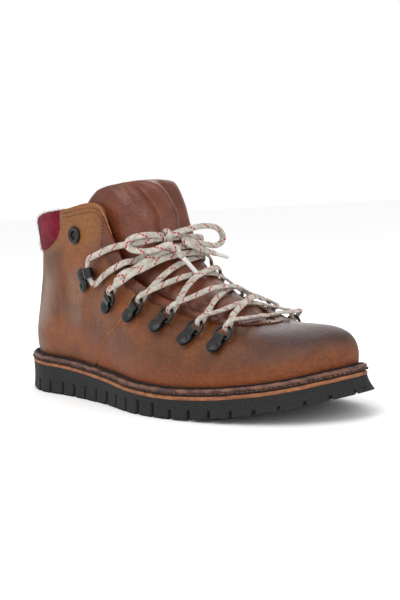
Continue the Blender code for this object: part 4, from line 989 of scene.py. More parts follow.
def layer_stuff(name, dark, light, rough, relief=0.00025, stretch=(1, 1, 3)):
    """Edge of a sole layer: streaky, in two tones."""
    m = Shader(name)
    streak = m.noise(130.0, 4.0, stretch)
    m.set("Base Color", m.mix(streak.within(0.32, 0.68), dark, light))
    m.set("Roughness", rough)
    m.relief((streak, relief))
    return m.material


def wool():
    """Crimson felted wool, darker in its streaks."""
    m = Shader("crimson_wool", Specular_IOR_Level=0.15)
    streak = m.noise(120.0, 4.0, (1, 1, 0.35))
    fuzz = m.noise(900.0, 3.0)
    base = m.mix(streak.within(0.3, 0.7), rgb(72, 8, 20), rgb(122, 18, 42))
    m.set("Base Color", m.mix(fuzz.within(0.4, 0.8) * 0.35, base, rgb(126, 38, 58)))
    m.set("Roughness", 0.97)
    m.set("Sheen Weight", 0.05)
    m.set("Sheen Roughness", 0.5)
    m.relief((streak, 0.0005), (fuzz, 0.0003))
    return m.material


def black_metal():
    """Glossy black enamel over steel, a little worn."""
    m = Shader("black_metal", Metallic=0.35, Specular_IOR_Level=0.5)
    wear = m.noise(220.0, 3.0)
    m.set("Base Color", m.mix(wear.within(0.4, 0.75), rgb(14, 14, 15), rgb(30, 30, 32)))
    m.set("Roughness", 0.2 + wear * 0.25)
    m.relief((wear, 0.00005))
    return m.material


def braid():
    """Off-white braid with red flecks: u runs along the lace and v across, in mm."""
    m = Shader("lace_braid", Specular_IOR_Level=0.2)
    u, v = m.uv()
    left = (u * 1.0 + v * 0.9).wave(1.25)
    right = (u * 1.0 - v * 0.9).wave(1.25)
    weave = left.math("MAXIMUM", right)
    tone = m.noise(300.0, 2.0)
    base = m.mix(tone.within(0.35, 0.7), rgb(176, 168, 156), rgb(204, 198, 188))
    # Painted shade: darker in the grooves between the strands of the weave.
    base = m.mix(weave.within(0.0, 0.55, falling=True) * 0.45, base, rgb(120, 110, 98))
    place = u.math("FLOORED_MODULO", 12.5)
    step = place.math("FLOORED_MODULO", 2.1)
    dash = step.within(0.0, 0.2) * step.within(1.5, 1.7, falling=True)
    dash = dash * place.within(6.2, 6.3, falling=True)
    drift = v - (place - 3.1) * 0.85
    fleck = dash * drift.math("ABSOLUTE", 0.0).within(0.7, 0.95, falling=True)
    m.set("Base Color", m.mix(fleck, base, rgb(168, 18, 38)))
    m.set("Roughness", 0.85)
    m.relief((weave, 0.00035))
    return m.material


def plain(name, colour, rough, **more):
    """Material of one even colour."""
    return Shader(name, Base_Color=colour, Roughness=rough, **more).material


MATERIALS = {
    "tan": tan_leather(),
    "red": red_leather(),
    "rubber": rubber(),
    "midsole": layer_stuff("midsole_edge", rgb(112, 64, 36), rgb(150, 96, 60), 0.75),
    "runner": layer_stuff("runner_edge", rgb(16, 11, 10), rgb(40, 27, 22), 0.85),
    "welt": layer_stuff("welt_edge", rgb(52, 30, 24), rgb(112, 72, 56), 0.62),
    "thread": plain("dark_thread", rgb(34, 25, 22), 0.8),
    "wool": wool(),
    "metal": black_metal(),
    "lace": braid(),
    "aglet": plain("clear_aglet", rgb(222, 220, 214), 0.18, Transmission_Weight=0.25),
    "webbing": layer_stuff("dark_webbing", rgb(34, 24, 22), rgb(62, 44, 38), 0.9),
    "lining": layer_stuff("lining_leather", rgb(74, 50, 38), rgb(106, 74, 56), 0.7, 0.0002,
                          (1, 1, 1)),
    "cut": layer_stuff("cut_edge", rgb(120, 70, 30), rgb(158, 98, 46), 0.7),
    "footbed": layer_stuff("footbed_felt", rgb(52, 44, 40), rgb(74, 64, 56), 0.95),
    # painted shade inside the eyelet holes
    "hole": plain("eyelet_hole_shade", rgb(38, 14, 14), 0.8),
}
METAL = {"material": MATERIALS["metal"], "slot": "black_metal"}


# ---------------------------------------------------------------- camera and light
CAMERA_ANGLES = (45.01, 4.88, -3.08)   # azimuth from the toe's side, elevation, roll
CAMERA_DISTANCE = 0.728
CAMERA_LENS = 62.64
CAMERA_SHIFT = (0.0020, -0.0130)
CAMERA_TARGET = (0.0224, 0.0, 0.076)
# Soft lamps: place, the point aimed at, size and power
LAMPS = {
    "key": ((0.15, -1.3, 1.5), (0.0, 0.0, 0.05), 1.2, 15.0),
    "fill": ((1.5, -0.5, 0.7), (0.05, 0.0, 0.06), 1.0, 5.0),
    "rim": ((-0.9, 1.0, 1.1), (0.0, 0.0, 0.08), 1.6, 8.0),
}
FLOOR_REACH = 40


def camera_and_light():
    """Long-lens view from the outer front corner, in soft studio light."""
    azimuth, elevation, roll = (math.radians(angle) for angle in CAMERA_ANGLES)
    back = Vector((math.sin(azimuth) * math.cos(elevation),
                   -math.cos(azimuth) * math.cos(elevation), math.sin(elevation)))
    data = bpy.data.cameras.new("camera")
    data.lens = CAMERA_LENS
    data.shift_x, data.shift_y = CAMERA_SHIFT
    data.clip_start, data.clip_end = 0.05, 20.0
    item = bpy.data.objects.new("camera", data)
    right = Vector((0, 0, 1)).cross(back).normalized()
    turn = Matrix((right, back.cross(right), back)).transposed()
    spot = Vector(np.array(CAMERA_TARGET) + SHIFT) + back * CAMERA_DISTANCE
    item.matrix_world = Matrix.Translation(spot) @ turn.to_4x4() @ Matrix.Rotation(roll, 4, "Z")
    scene = bpy.context.scene
    scene.collection.objects.link(item)
    scene.camera = item
    scene.view_settings.view_transform = "Standard"
    scene.view_settings.look = "None"
    world = bpy.data.worlds.new("world")
    world.use_nodes = True
    world.node_tree.nodes["Background"].inputs[0].default_value = (1.0, 1.0, 1.0, 1.0)
    world.node_tree.nodes["Background"].inputs[1].default_value = 1.0
    scene.world = world
    for name, (spot, aim, size, power) in LAMPS.items():
        lamp = bpy.data.lights.new(name, "AREA")
        lamp.size, lamp.energy = size, power
        light = bpy.data.objects.new(name, lamp)
        light.location = spot
        light.rotation_euler = (Vector(aim) - Vector(spot)).to_track_quat("-Z", "Y").to_euler()
        scene.collection.objects.link(light)
    floor = bpy.data.meshes.new("floor")
    corners = ((-1, -1), (1, -1), (1, 1), (-1, 1))
    floor.from_pydata([(x * FLOOR_REACH, y * FLOOR_REACH, 0) for x, y in corners], [],
                      [(0, 1, 2, 3)])
    ground = bpy.data.objects.new("floor", floor)
    ground.data.materials.append(plain("floor", (0.96, 0.96, 0.96), 0.9, Specular_IOR_Level=0.0))
    scene.collection.objects.link(ground)


camera_and_light()


# ---------------------------------------------------------------- laces
def ribbon(name, path, lie, half_width, half_depth, material, slot, samples=20, body=None):
    """Flattened oval swept along path: lie is the way its flat side faces at each
    point. Returns the piece and its length in mm."""
    path, lie = np.asarray(path, float), np.asarray(lie, float)
    along = unit(np.gradient(path, axis=0))
    lie = unit(lie - (lie * along).sum(-1, keepdims=True) * along)
    across = np.cross(along, lie)
    angle = np.linspace(0, 2 * math.pi, samples, endpoint=False)
    flat_side = np.sign(np.cos(angle)) * np.abs(np.cos(angle))**0.8
    thick = np.sign(np.sin(angle)) * np.abs(np.sin(angle))**0.9
    w, d = (np.reshape(half, (-1, 1, 1)) for half in (half_width, half_depth))
    grid = (path[:, None] + across[:, None] * flat_side[None, :, None] * w
            + lie[:, None] * thick[None, :, None] * d)
    length = lengths(path)
    uv = np.stack(np.broadcast_arrays(length[:, None], flat_side[None, :] * 3.0), -1)
    centre = path[[0, -1]]
    grid = np.concatenate([centre[:1, None] + (grid[:1] - centre[:1, None]) * 0.05, grid,
                           centre[1:, None] + (grid[-1:] - centre[1:, None]) * 0.05])
    uv = np.concatenate([uv[:1], uv, uv[-1:]])
    item = build(name, grid, grid_quads(len(grid), samples, round_v=True), material, uv,
                 slot=slot, body=body)
    return recalculated(item), length[-1]


def braid_ribbon(name, path, lie, half_width, half_depth):
    """Ribbon of the lace's own braid."""
    return ribbon(name, path, lie, half_width, half_depth, MATERIALS["lace"], "lace_braid")


def nearest_normals(points):
    """Outward direction of the leather under each point."""
    samples = [(p, n) for p, n, _ in skins()]
    spots = np.concatenate([p for p, _ in samples])
    normals = np.concatenate([n for _, n in samples])
    return np.array([normals[((spots - point)**2).sum(1).argmin()] for point in points])


def steady(lie):
    """The same directions, turned over where needed to run without a flip."""
    lie = np.array(lie, float)
    for i in range(1, len(lie)):
        if np.dot(lie[i], lie[i - 1]) < 0:
            lie[i] = -lie[i]
    return unit(lie)


def smoothed(values, rounds):
    """Rows evened out with their neighbours, a round at a time; the ends stay."""
    values = np.array(values, float)
    for _ in range(rounds):
        values[1:-1] = (values[:-2] + 2 * values[1:-1] + values[2:]) / 4
    return values


def hook_frame(side):
    """Frame at the rivets of a speed hook, along towards its tube."""
    shift = INNER_SHIFT / 2 if side > 0 else 0.0
    (r, v), (toward_r, toward_v) = HOOK_PLACE, HOOK_TOWARD
    return frame_on_upper(side, r - shift, v, toward_r - shift, toward_v, GAP + 0.5)


RINGS = {(side, k): ring_frame(side, k) for side in (-1, 1) for k in range(len(RING_PLACES))}
HOOKS = {side: hook_frame(side) for side in (-1, 1)}


def ring_wires():
    """Middle of each ring's bow, and the direction along its bar."""
    tilt = math.radians(RING_TILT)
    found = []
    for at in RINGS.values():
        bow = in_frame(at, np.array([math.cos(tilt), 0.0, math.sin(tilt)]) * RING_LENGTH)
        found.append((bow, at[2]))
    for at in HOOKS.values():
        found.append((in_frame(at, (HOOK_REACH, 0.0, 5.0)), at[2]))
    return found


def laced_part():
    """The two halves from the lowest bar up to the knot: each lies flat on the
    leather, and is gathered and turned over the wire where it passes a ring."""
    wires = ring_wires()
    for start, way in lace_runs(RINGS, HOOKS).items():
        name = "lateral" if start < 0 else "medial"
        inside = np.array(KNOT) + (np.array(way[-1]) - KNOT) * 0.25
        path = smoothed(spaced(np.vstack([way, inside]), 1.1), 2)
        lie = nearest_normals(path)
        pinch = np.zeros(len(path))
        for i, point in enumerate(path):
            for k, (spot, bar) in enumerate(wires):
                away = point - spot
                near = np.linalg.norm(away)
                if near < PINCH_FAR:
                    pinch[i] = max(pinch[i], float(1 - bump_step(near, PINCH_NEAR, PINCH_FAR)))
                    if k < len(RINGS):
                        radial = away - bar * np.dot(away, bar)
                        share = 1 - bump_step(near, PINCH_NEAR, PINCH_FAR - 0.5)
                        sign = 1.0 if np.dot(radial, lie[i]) >= 0 else -1.0
                        lie[i] = lie[i] * (1 - share) * sign + unit(radial) * share
        lie = unit(smoothed(steady(lie), 6))
        pinch = smoothed(pinch, 4)
        item, _ = braid_ribbon("laced_half_" + name, path, lie, 2.3 - 0.7 * pinch,
                               1.0 + 0.3 * pinch)
        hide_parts("lace_run_" + name)
        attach(item, "boot")


def turned_piece(name, at, profile, steps=48, closed=False, **more):
    """Piece turned about a frame's outward axis: profile gives radius and level."""
    spot, along, across, out = at
    angle = np.linspace(0, 2 * math.pi, steps, endpoint=False)
    ring_way = along * np.cos(angle)[:, None] + across * np.sin(angle)[:, None]
    profile = np.asarray(profile, float)
    grid = spot + profile[:, None, 1:] * out + profile[:, None, :1] * ring_way[None]
    return recalculated(build(name, grid, grid_quads(len(profile), steps, closed, True), **more))


def aglet_tip(name, spot, along):
    """Clear tip at the end of a lace: a turned sleeve."""
    side = unit(np.cross(along, [0.0, 0.0, 1.0]))
    up = np.cross(side, along)
    profile = ((0.0, 0.0), (1.5, 0.0), (1.7, 0.5), (1.6, 2.0), (1.55, 13.0), (1.3, 14.4),
               (0.8, 15.0), (0.0, 15.0))
    return turned_piece(name + "_tip", (spot, side, up, along), profile, 24,
                        material=MATERIALS["aglet"], slot="aglet_plastic", cad=(name,))


BOW_FACING = (0.62, -0.62, 0.45)


def bow():
    """Loops and tails of the bow, as cords that leave the knot."""
    for name, way in BOW_ENDS.items():
        inside = np.array(KNOT) + (np.array(way[0]) - KNOT) * 0.35
        path = smoothed(spaced(np.vstack([inside, way]), 1.0), 8)
        lie = np.tile(BOW_FACING, (len(path), 1))
        item, length = braid_ribbon(name.replace("lace", "bow"), path, lie, 2.25, 1.05)
        along = unit(path[-1] - path[-3])
        tip = aglet_tip(name.replace("lace_end", "aglet"), path[-1] + along * GAP, along)
        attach(item, "boot")
        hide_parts(name)
        tuple(path[0] * MM + SHIFT)
        [tuple(p) for p in path * MM + SHIFT]


def knot():
    """Tied middle of the bow: a strap of lace wound one and a half turns round the two loops, and
    a second turn across it."""
    centre = np.array(KNOT) + [0.4, -0.4, 0.6]
    axis = unit(np.array(BOW_ENDS["lace_end_medial"][0]) - BOW_ENDS["lace_end_lateral"][0])
    up = unit(np.cross(np.cross(axis, BOW_FACING), axis))
    side = np.cross(axis, up)
    turn = np.linspace(0, 1, 90)[:, None]
    for k, (turns, radius, drift, start, lean) in enumerate((
            (1.5, 3.7, 3.6, 0.3, 0.0), (1.1, 4.5, -2.4, 2.4, 0.5))):
        a = start + turn * 2 * math.pi * turns
        path = centre + (up * np.cos(a) + side * np.sin(a)) * radius + axis * (
            drift * (turn - 0.5) + lean * 2.2 * np.sin(a))
        item, _ = braid_ribbon("lace_knot_wrap_%d" % (k + 1), path, unit(path - centre), 2.1,
                               1.05)
        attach(item, "boot")
    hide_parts("lace_knot")


laced_part()
bow()
knot()


# ---------------------------------------------------------------- sole
def stations(count):
    """Points round the whole sole and their outward directions: the outer side
    forward, then the inner side back."""
    outer, inner = (outline(side, np.linspace(0, 1, count)) for side in (-1, 1))
    return [np.concatenate([one, other[-2:0:-1]]) for one, other in zip(outer, inner)]


def band(name, profile, height, material, slot, cad, wobble, seed):
    """Ring swept round the sole: profile gives outward and upward offsets of a
    closed section, height the level it stands at, wobble how rough its edge is."""
    spot, out = stations(700)
    profile = np.array(profile, float)
    level = height(spot[:, 0])
    reach = np.tile(profile[:, 0], (len(spot), 1))
    rise = np.tile(profile[:, 1], (len(spot), 1))
    flat_points = np.concatenate([spot, level[:, None]], -1)
    near = bump_step(reach, -3.0, -0.2)
    reach = reach + near * wobble * lumps(flat_points, 14.0, seed)[:, None]
    rise = rise + near * wobble * 0.7 * lumps(flat_points, 9.0, seed + 1)[:, None]
    grid = np.concatenate([spot[:, None] + out[:, None] * reach[..., None],
                           (level[:, None] + rise)[..., None]], -1)
    item = build(name, grid, grid_quads(len(spot), len(profile), True, True), material,
                 slot=slot, cad=cad)
    recalculated(item)


def rounded_band(inner, thickness, bulge, outer):
    """Closed section of a flat strip whose outer edge is rounded."""
    a = np.linspace(-math.pi / 2, math.pi / 2, 9)
    edge = [(outer - bulge + bulge * math.cos(t), thickness / 2 + thickness / 2 * math.sin(t))
            for t in a]
    return [(-inner, 0.0), (-inner / 2, 0.0)] + edge + [(-inner / 2, thickness),
                                                       (-inner, thickness)]


def saw(length, pitch):
    """Rounded saw teeth along a length, 0 to 1."""
    share = (length / pitch) % 1.0
    return np.where(share < 0.7, share / 0.7, (1 - share) / 0.3)


def outsole_surface():
    """Outsole: cross sections from wall to wall, with grooves cut in the wall and
    the edge of the tread, and saw teeth between them."""
    count, across = 1040, 61
    s = np.linspace(0, 1, count)
    sections = []
    for side in (-1, 1):
        spot, out = outline(side, s)
        length = lengths(spot)
        base, top = tread_height(spot[:, 0]), outsole_top(spot[:, 0])
        tall = top - base
        lean = flare(spot[:, 0])
        phase = (length - 9.0) / GROOVE_PITCH
        off = np.abs(phase - np.round(phase)) * GROOVE_PITCH
        live = (length > 8.0) & (length < length[-1] - 3.0)
        order = np.round(phase).astype(int)
        wide = np.where(order % 3 == 0, 2.0, 1.5) * np.where(spot[:, 0] > 60, 0.7, 1.0)
        groove = (1 - bump_step(off, wide * 0.55, wide)) * live
        rise = np.minimum(GROOVE_RISE * np.where(spot[:, 0] < 40, 1.0, 0.62), tall - 3.0)
        toe_fade = 1 - 0.55 * bump_step(spot[:, 0], 60.0, 120.0)
        rise = rise * toe_fade
        fine = spot[:, 0] < 52
        teeth = np.where(fine, saw(length, TOOTH_PITCH), 0.0) * bump_step(off, 1.4, 2.2)
        share = np.array([0.0, 0.02, 0.06, 0.12, 0.2, 0.3, 0.4, 0.5, 0.58, 0.66, 0.75, 0.85,
                          0.93, 0.975, 1.0])
        z = base[:, None] + tall[:, None] * share
        fall = lean[:, None] * (1 - share)**1.3
        roll = (0.5 * np.clip((0.03 - share) / 0.03, 0, 1)
                + 0.35 * np.clip((share - 0.97) / 0.03, 0, 1))
        deep = groove[:, None] * (1 - bump_step(z - base[:, None], rise[:, None] - 1.2,
                                                rise[:, None] + 0.3))
        bow = 0.35 * np.sin(share * math.pi)
        reach = fall - roll - bow - deep * 3.4
        z = z + (groove * 2.6 + teeth * 1.5)[:, None] * np.clip(1 - share * 12, 0, 1)
        wall = np.concatenate([spot[:, None] + out[:, None] * reach[..., None], z[..., None]], -1)
        sections.append((wall, groove * 2.6 + teeth * 1.5))
    (outer, outer_cut), (inner, inner_cut) = sections
    w = np.linspace(0, 1, across)[None, 1:-1, None]
    under = outer[:, :1] * (1 - w) + inner[:, :1] * w
    flat_z = tread_height(under[..., 0])
    width = np.linalg.norm((outer[:, 0] - inner[:, 0])[:, :2], axis=-1)[:, None]
    from_edge = np.minimum(w[..., 0], 1 - w[..., 0]) * width
    x, y = under[..., 0], under[..., 1]
    bars = np.abs(((x + 0.35 * np.abs(y)) / 11.0) % 1.0 - 0.5) * 11.0
    lug = bump_step(bars, 1.0, 1.9)
    rim = bump_step(from_edge, 7.0, 8.2) * (1 - bump_step(from_edge, 9.6, 10.8))
    middle = bump_step(from_edge, 9.6, 10.8)
    recess = 2.6 * np.maximum(rim, middle * (1 - lug))
    blend = np.clip(from_edge / 2.0, 0, 1)
    rim_cut = np.where(w[..., 0] < 0.5, outer_cut[:, None], inner_cut[:, None])
    rim_cut = rim_cut * (1 - bump_step(from_edge, 4.0, 7.0))
    under[..., 2] = under[..., 2] * (1 - blend) + (flat_z + np.maximum(recess, rim_cut)) * blend
    over = outer[:, -1:] * (1 - w[:, ::10]) + inner[:, -1:] * w[:, ::10]
    over[..., 2] = outsole_top(over[..., 0]) - 0.1
    loop = np.concatenate([outer[:, ::-1], under, inner, over[:, ::-1]], axis=1)
    item = build("outsole_rubber", loop, grid_quads(count, loop.shape[1], False, True),
                 MATERIALS["rubber"], slot="outsole_rubber", cad=("outsole",))
    recalculated(item)


def welt_stitches():
    """Ragged dark lockstitch in the split between welt and midsole, seen on edge."""
    spot, out = (np.vstack([rows, rows[:1]]) for rows in stations(900))
    length = lengths(spot)
    count = int(length[-1] / WELT_PITCH)
    rng = np.random.default_rng(4)
    at = (np.arange(count) + rng.uniform(-0.12, 0.12, count)) * WELT_PITCH
    place = between(at, length, spot)
    way = unit(between(at, length, out))
    level = runner_top(place[:, 0])
    stitches("edge_stitches", np.column_stack([place + way * 0.15, level - 0.1
                                               + rng.uniform(-0.25, 0.25, count)]),
             np.column_stack([-way[:, 1], way[:, 0], rng.uniform(-0.25, 0.25, count)]),
             np.column_stack([way, np.zeros(count)]), 1.15, 0.55)


def stitches(name, centres, along, out, half_length, radius):
    """Rows of thread stitches, each a low spindle of five rings of six points."""
    along = unit(along)
    out = unit(out - (out * along).sum(-1, keepdims=True) * along)
    side = np.cross(along, out)
    share = np.array([-1.0, -0.75, 0.0, 0.75, 1.0])
    girth = np.array([0.15, 0.75, 1.0, 0.75, 0.15]) * radius
    angle = np.linspace(0, 2 * math.pi, 6, endpoint=False)
    bow_height = np.array([-0.6, 0.0, 0.35, 0.0, -0.6]) * radius
    points = (centres[:, None, None]
              + along[:, None, None] * (share * half_length)[None, :, None, None]
              + out[:, None, None] * (bow_height[None, :, None, None]
                                      + (girth[:, None] * np.sin(angle))[None, ..., None])
              + side[:, None, None] * (girth[:, None] * np.cos(angle))[None, ..., None])
    single = grid_quads(5, 6, False, True)
    faces = (single[None] + np.arange(len(centres))[:, None, None] * 30).reshape(-1, 4)
    recalculated(build(name, points, faces, MATERIALS["thread"]))


def seam_stitches(name, line, normal):
    """Stitches at an even pitch along a line of points with their normals."""
    length = lengths(line)
    at = np.arange(SEAM_PITCH / 2, length[-1], SEAM_PITCH)
    spot = between(at, length, line)
    out = unit(between(at, length, normal))
    along = between(at, length, np.gradient(line, length, axis=0))
    stitches(name, spot + out * 0.05, along, out, 0.85, 0.28)


def midsole_top(x):
    """Level of the midsole's upper face."""
    return outsole_top(x) + GAP + MIDSOLE_THICKNESS


def runner_top(x):
    """Level of the runner layer's upper face."""
    return midsole_top(x) + GAP + RUNNER_THICKNESS


def sole():
    """The sole's layers, from the outsole up to the bead at the upper's foot."""
    outsole_surface()
    band("midsole_band", rounded_band(30.0, MIDSOLE_THICKNESS + 0.1, 0.5, 0.1), outsole_top,
         MATERIALS["midsole"], "midsole_rubber", ("midsole",), 0.12, 3)
    band("runner_band", rounded_band(28.0, RUNNER_THICKNESS + 0.5, 0.3, -0.9),
         lambda x: midsole_top(x) - 0.1, MATERIALS["runner"], "runner_leather",
         ("runner_layer",), 0.2, 5)
    band("welt_band", rounded_band(WELT_BAND - 0.5, WELT_THICKNESS + 0.9, 1.2, 0.15),
         lambda x: runner_top(x) + 0.1, MATERIALS["welt"], "welt_leather", ("welt",), 0.28, 7)
    band("welt_split", rounded_band(10.0, 0.5, 0.2, -0.2), lambda x: runner_top(x) - 0.25,
         MATERIALS["midsole"], "welt_leather", (), 0.3, 9)
    band("seam_bead", rounded_band(3.0, 1.3, 0.6, -WELT_SHELF + 0.9),
         lambda x: featherline_height(x) - 0.3, MATERIALS["runner"], "runner_leather", (),
         0.3, 11)
    welt_stitches()


# ---------------------------------------------------------------- upper
def skin_uv(r, v):
    """Map of a leather piece: its place along the outline and up the rib."""
    return np.stack(np.broadcast_arrays(r, v), -1)


def slack(points, v):
    """Soft unevenness of worn leather, in millimetres."""
    return 0.55 * lumps(points, 42.0, 21, 2) * bump_step(v, 0.05, 0.3)


def vamp():
    """Toe and forefoot in one sheet, tucked under the quarters at its back edge."""
    columns, rows = 150, 70
    share = np.linspace(0, 1, columns)[:, None]
    share = 1 - (1 - share)**1.25
    v = np.linspace(0, 1, rows)[None, :]
    halves, places = [], []
    for side in (-1, 1):
        start = seam(v) - 0.03
        r = start + (1 - start) * share
        under = 1 - bump_step(r - seam(v), -0.004, 0.002)
        base = upper(side, r, v)
        out = rib_normal(side, r, v + 0 * r)
        lift = slack(base, v) - under * 1.6
        front = np.exp(-((r - 0.80 - 0.05 * (v - 0.5)) / 0.012)**2) * bump_step(v, 0.5, 0.8)
        rear = np.exp(-((r - 0.765 - 0.03 * v) / 0.010)**2) * bump_step(v, 0.55, 0.8)
        crease = front * 0.5 + rear * 0.35
        grid = base + out * (lift - crease)[..., None]
        halves.append(grid)
        places.append(skin_uv(r, v + 0 * r))
    outer, inner = halves
    meet(outer, inner, -1)
    ridge = places[0][:, -1, 0] >= PLACES[FIRST_RIDGE_RIB] - 1e-6
    meet(outer, inner, (ridge, -1))
    grid = np.concatenate([outer, inner[-2::-1]])
    uv = np.concatenate([places[0], places[1][-2::-1]])
    leather_sheet("vamp_leather", grid, HIDE_THICKNESS, MATERIALS["tan"], uv, (1.0, 0.0, 0.3),
                  slot="tan_leather", cad=("vamp",))


def quarter(side, tag):
    """Side of the shaft: lies over the vamp at its front edge."""
    columns, rows = 170, 90
    v = np.linspace(0, 1, rows)[None, :]
    share = np.linspace(0, 1, columns)[:, None]
    r = 0.001 + (seam(v) - 0.001) * share
    height = v * np.maximum(quarter_top(r), pad_outline(r) + 0.012 - (r > PAD_END))
    base = upper(side, r, height)
    out = rib_normal(side, r, height)
    near = bump_step(r - seam(v), -0.05, -0.01)
    last = bump_step(r - seam(v), -0.004, 0.0)
    lift = slack(base, height) * (1 - near) + 0.75 * near - 0.35 * last
    dent = np.exp(-((r - 0.15) / 0.05)**2) * np.exp(-((height - 0.5) / 0.22)**2)
    fold = np.exp(-((r - 0.235 + 0.10 * (height - 0.5)) / 0.02)**2) * bump_step(height, 0.2, 0.4)
    fold = fold * (1 - bump_step(height, 0.6, 0.8))
    lift = lift - 1.3 * dent + 0.8 * fold
    grid = base + out * lift[..., None]
    leather_sheet("quarter_leather_" + tag, grid, HIDE_THICKNESS, MATERIALS["tan"],
                  skin_uv(r, height), (0.0, side, 0.2), slot="tan_leather",
                  cad=("quarter_" + tag,))
    for row in (1, 2):
        k = rows - 1 - row * 2
        top = (r[:, k] > PAD_END + 0.012) & (grid[:, k, 2] > 116.0)
        seam_stitches("top_stitches_%s_%d" % (tag, row), grid[top, k], out[top, k])
    top = (r[:, -1] > PAD_END + 0.012) & (grid[:, -1, 2] > 118.0)
    edge_bead("top_cut_edge_" + tag, grid[top, -1] - out[top, -1] * 0.7, out[top, -1], 0.4, 0.8)
    edge_bead("seam_cut_edge_" + tag, grid[-1, 2:] - out[-1, 2:] * 0.7, out[-1, 2:], 0.75, 0.7)


def edge_bead(name, line, lie, half_width, half_depth):
    """Raw cut edge of a leather piece, as a slim bead along its line."""
    ribbon(name, line, lie, half_width, half_depth, MATERIALS["cut"], "tan_leather", 10, "boot")


def facing(side, tag):
    """Redder strip along the throat, sewn on in two rows; both strips run out in a
    point where they meet on the ridge."""
    ridge = PLACES[FIRST_RIDGE_RIB]
    r = np.linspace(PLACES[CORNER_RIB + 1] - 0.03, ridge + 0.022, 180)[:, None]
    v = np.linspace(0, 1, 14)[None, :]
    low = 1 - FACING_WIDTH - 0.06 * np.clip((0.46 - r) / 0.1, 0, 1)
    low = low + (0.998 - low) * np.clip((r - ridge + 0.02) / 0.042, 0, 1)**1.8
    top = 0.996 + 0.004 * bump_step(r, ridge - 0.01, ridge)
    height = low + (top - low) * v
    base = upper(side, r, height)
    out = rib_normal(side, r, height)
    grid = base + out * (1.15 + 0.4 * slack(base, height))[..., None]
    leather_sheet("facing_strip_" + tag, grid, 1.1, MATERIALS["red"],
                  skin_uv(r, height), (0.2, side, 0.4), slot="red_leather",
                  cad=("facing_" + tag,))
    sewn = r[:, 0] < ridge - 0.01
    for k in (1, 3):
        seam_stitches("facing_stitches_%s_%d" % (tag, k), grid[sewn, k], out[sewn, k])
    seam_stitches("facing_end_" + tag, grid[1, 1:-1], out[1, 1:-1])


def back_stay():
    """Strip over the heel seam, from just above the welt to half the height."""
    r = np.linspace(0, 0.028, 14)[:, None]
    v = np.linspace(0.03, 0.5, 50)[None, :]
    outer, inner = (upper(side, r, v, -GAP - STAY_THICKNESS) for side in (-1, 1))
    meet(outer, inner, 0)
    grid = np.concatenate([outer[:0:-1], inner])
    uv = skin_uv(np.linspace(0.0, 0.03, grid.shape[0])[:, None],
                 np.linspace(0.03, 0.5, grid.shape[1])[None, :])
    leather_sheet("back_stay_leather", grid, STAY_THICKNESS, MATERIALS["tan"], uv,
                  (-1.0, 0.0, 0.0), slot="tan_leather", cad=("back_stay",))


def pad_outline(r):
    """Lower edge of the collar pad: level at the heel, a rounded corner in front."""
    t = np.clip((r - 0.135) / (PAD_END - 0.135), 0, 1)
    return PAD_LOW - 0.005 + 0.14 * (1 - np.sqrt(1 - 0.98 * t * t))


def collar_pad():
    """Crowned woollen pad round the back of the collar, with short loose fibres."""
    columns, rows = 120, 60
    end = PAD_END + 0.006
    halves = []
    share = np.linspace(0, 1, columns)[:, None]
    angle = np.linspace(0, 2 * math.pi, rows, endpoint=False)[None, :]
    for side in (-1, 1):
        r = share * end
        low, high = pad_outline(r), 1.0
        middle, half = (low + high) / 2, (high - low) / 2
        v = np.clip(middle + half * np.sign(np.cos(angle)) * np.abs(np.cos(angle))**0.55, 0, 1)
        crown = np.sign(np.sin(angle)) * np.abs(np.sin(angle))**0.75
        taper = 1 - 0.55 * bump_step(r, end - 0.03, end)
        depth = PAD_THICKNESS / 2 - crown * (PAD_THICKNESS / 2 + 1.6) * taper
        halves.append(upper(side, r, v, 0.0) - rib_normal(side, r, v) * (depth - 0.4)[..., None])
    outer, inner = halves
    meet(outer, inner, 0)
    grid = np.concatenate([outer[::-1], inner[1:]])
    grid[..., 2] += 1.6 * (1 - bump_step(np.linspace(-1, 1, len(grid))**2, 0.0, 1.0))[:, None] * (
        np.cos(angle) > 0.2)
    away = unit(grid - grid.mean(axis=1, keepdims=True))
    grid = grid + 0.25 * lumps(grid, 8.0, 31)[..., None] * away
    centre = grid[[0, -1]].mean(axis=1, keepdims=True)
    caps = [centre[0] + (grid[0] - centre[0]) * f for f in (0.05, 0.5, 0.85)]
    ends = [centre[1] + (grid[-1] - centre[1]) * f for f in (0.85, 0.5, 0.05)]
    grid = np.concatenate([np.array(caps), grid, np.array(ends)])
    item = build("collar_pad_wool", grid, grid_quads(len(grid), rows, False, True),
                 MATERIALS["wool"], slot="crimson_wool", cad=("collar_pad",))
    wool_fibres(recalculated(item))


def wool_fibres(pad):
    """Short curved fibres standing out of the felt: bent strips of two quads."""
    rng = np.random.default_rng(12)
    mesh = pad.data
    count = len(mesh.polygons)
    centres = np.empty(count * 3)
    normals = np.empty(count * 3)
    mesh.polygons.foreach_get("center", centres)
    mesh.polygons.foreach_get("normal", normals)
    centres = (centres.reshape(-1, 3) - SHIFT) / MM
    normals = normals.reshape(-1, 3)
    pick = rng.integers(0, count, FIBRES)
    root = centres[pick] + rng.normal(scale=0.5, size=(len(pick), 3))
    out = normals[pick]
    lean = unit(rng.normal(size=(len(pick), 3)))
    side = unit(np.cross(out, lean)) * 0.045
    tall = rng.uniform(0.5, 1.5, (len(pick), 1))
    mid = root + out * tall * 0.55 + lean * 0.25
    tip = root + out * tall * 0.8 + lean * 0.8 - np.array([0, 0, 0.25])
    points = np.stack([root - side, root + side, mid + side, mid - side, tip + side * 0.3,
                       tip - side * 0.3], axis=1)
    single = np.array([[0, 1, 2, 3], [3, 2, 4, 5]])
    faces = (single[None] + np.arange(len(pick))[:, None, None] * 6).reshape(-1, 4)
    build("collar_pad_fibres", points, faces, MATERIALS["wool"], slot="crimson_wool")


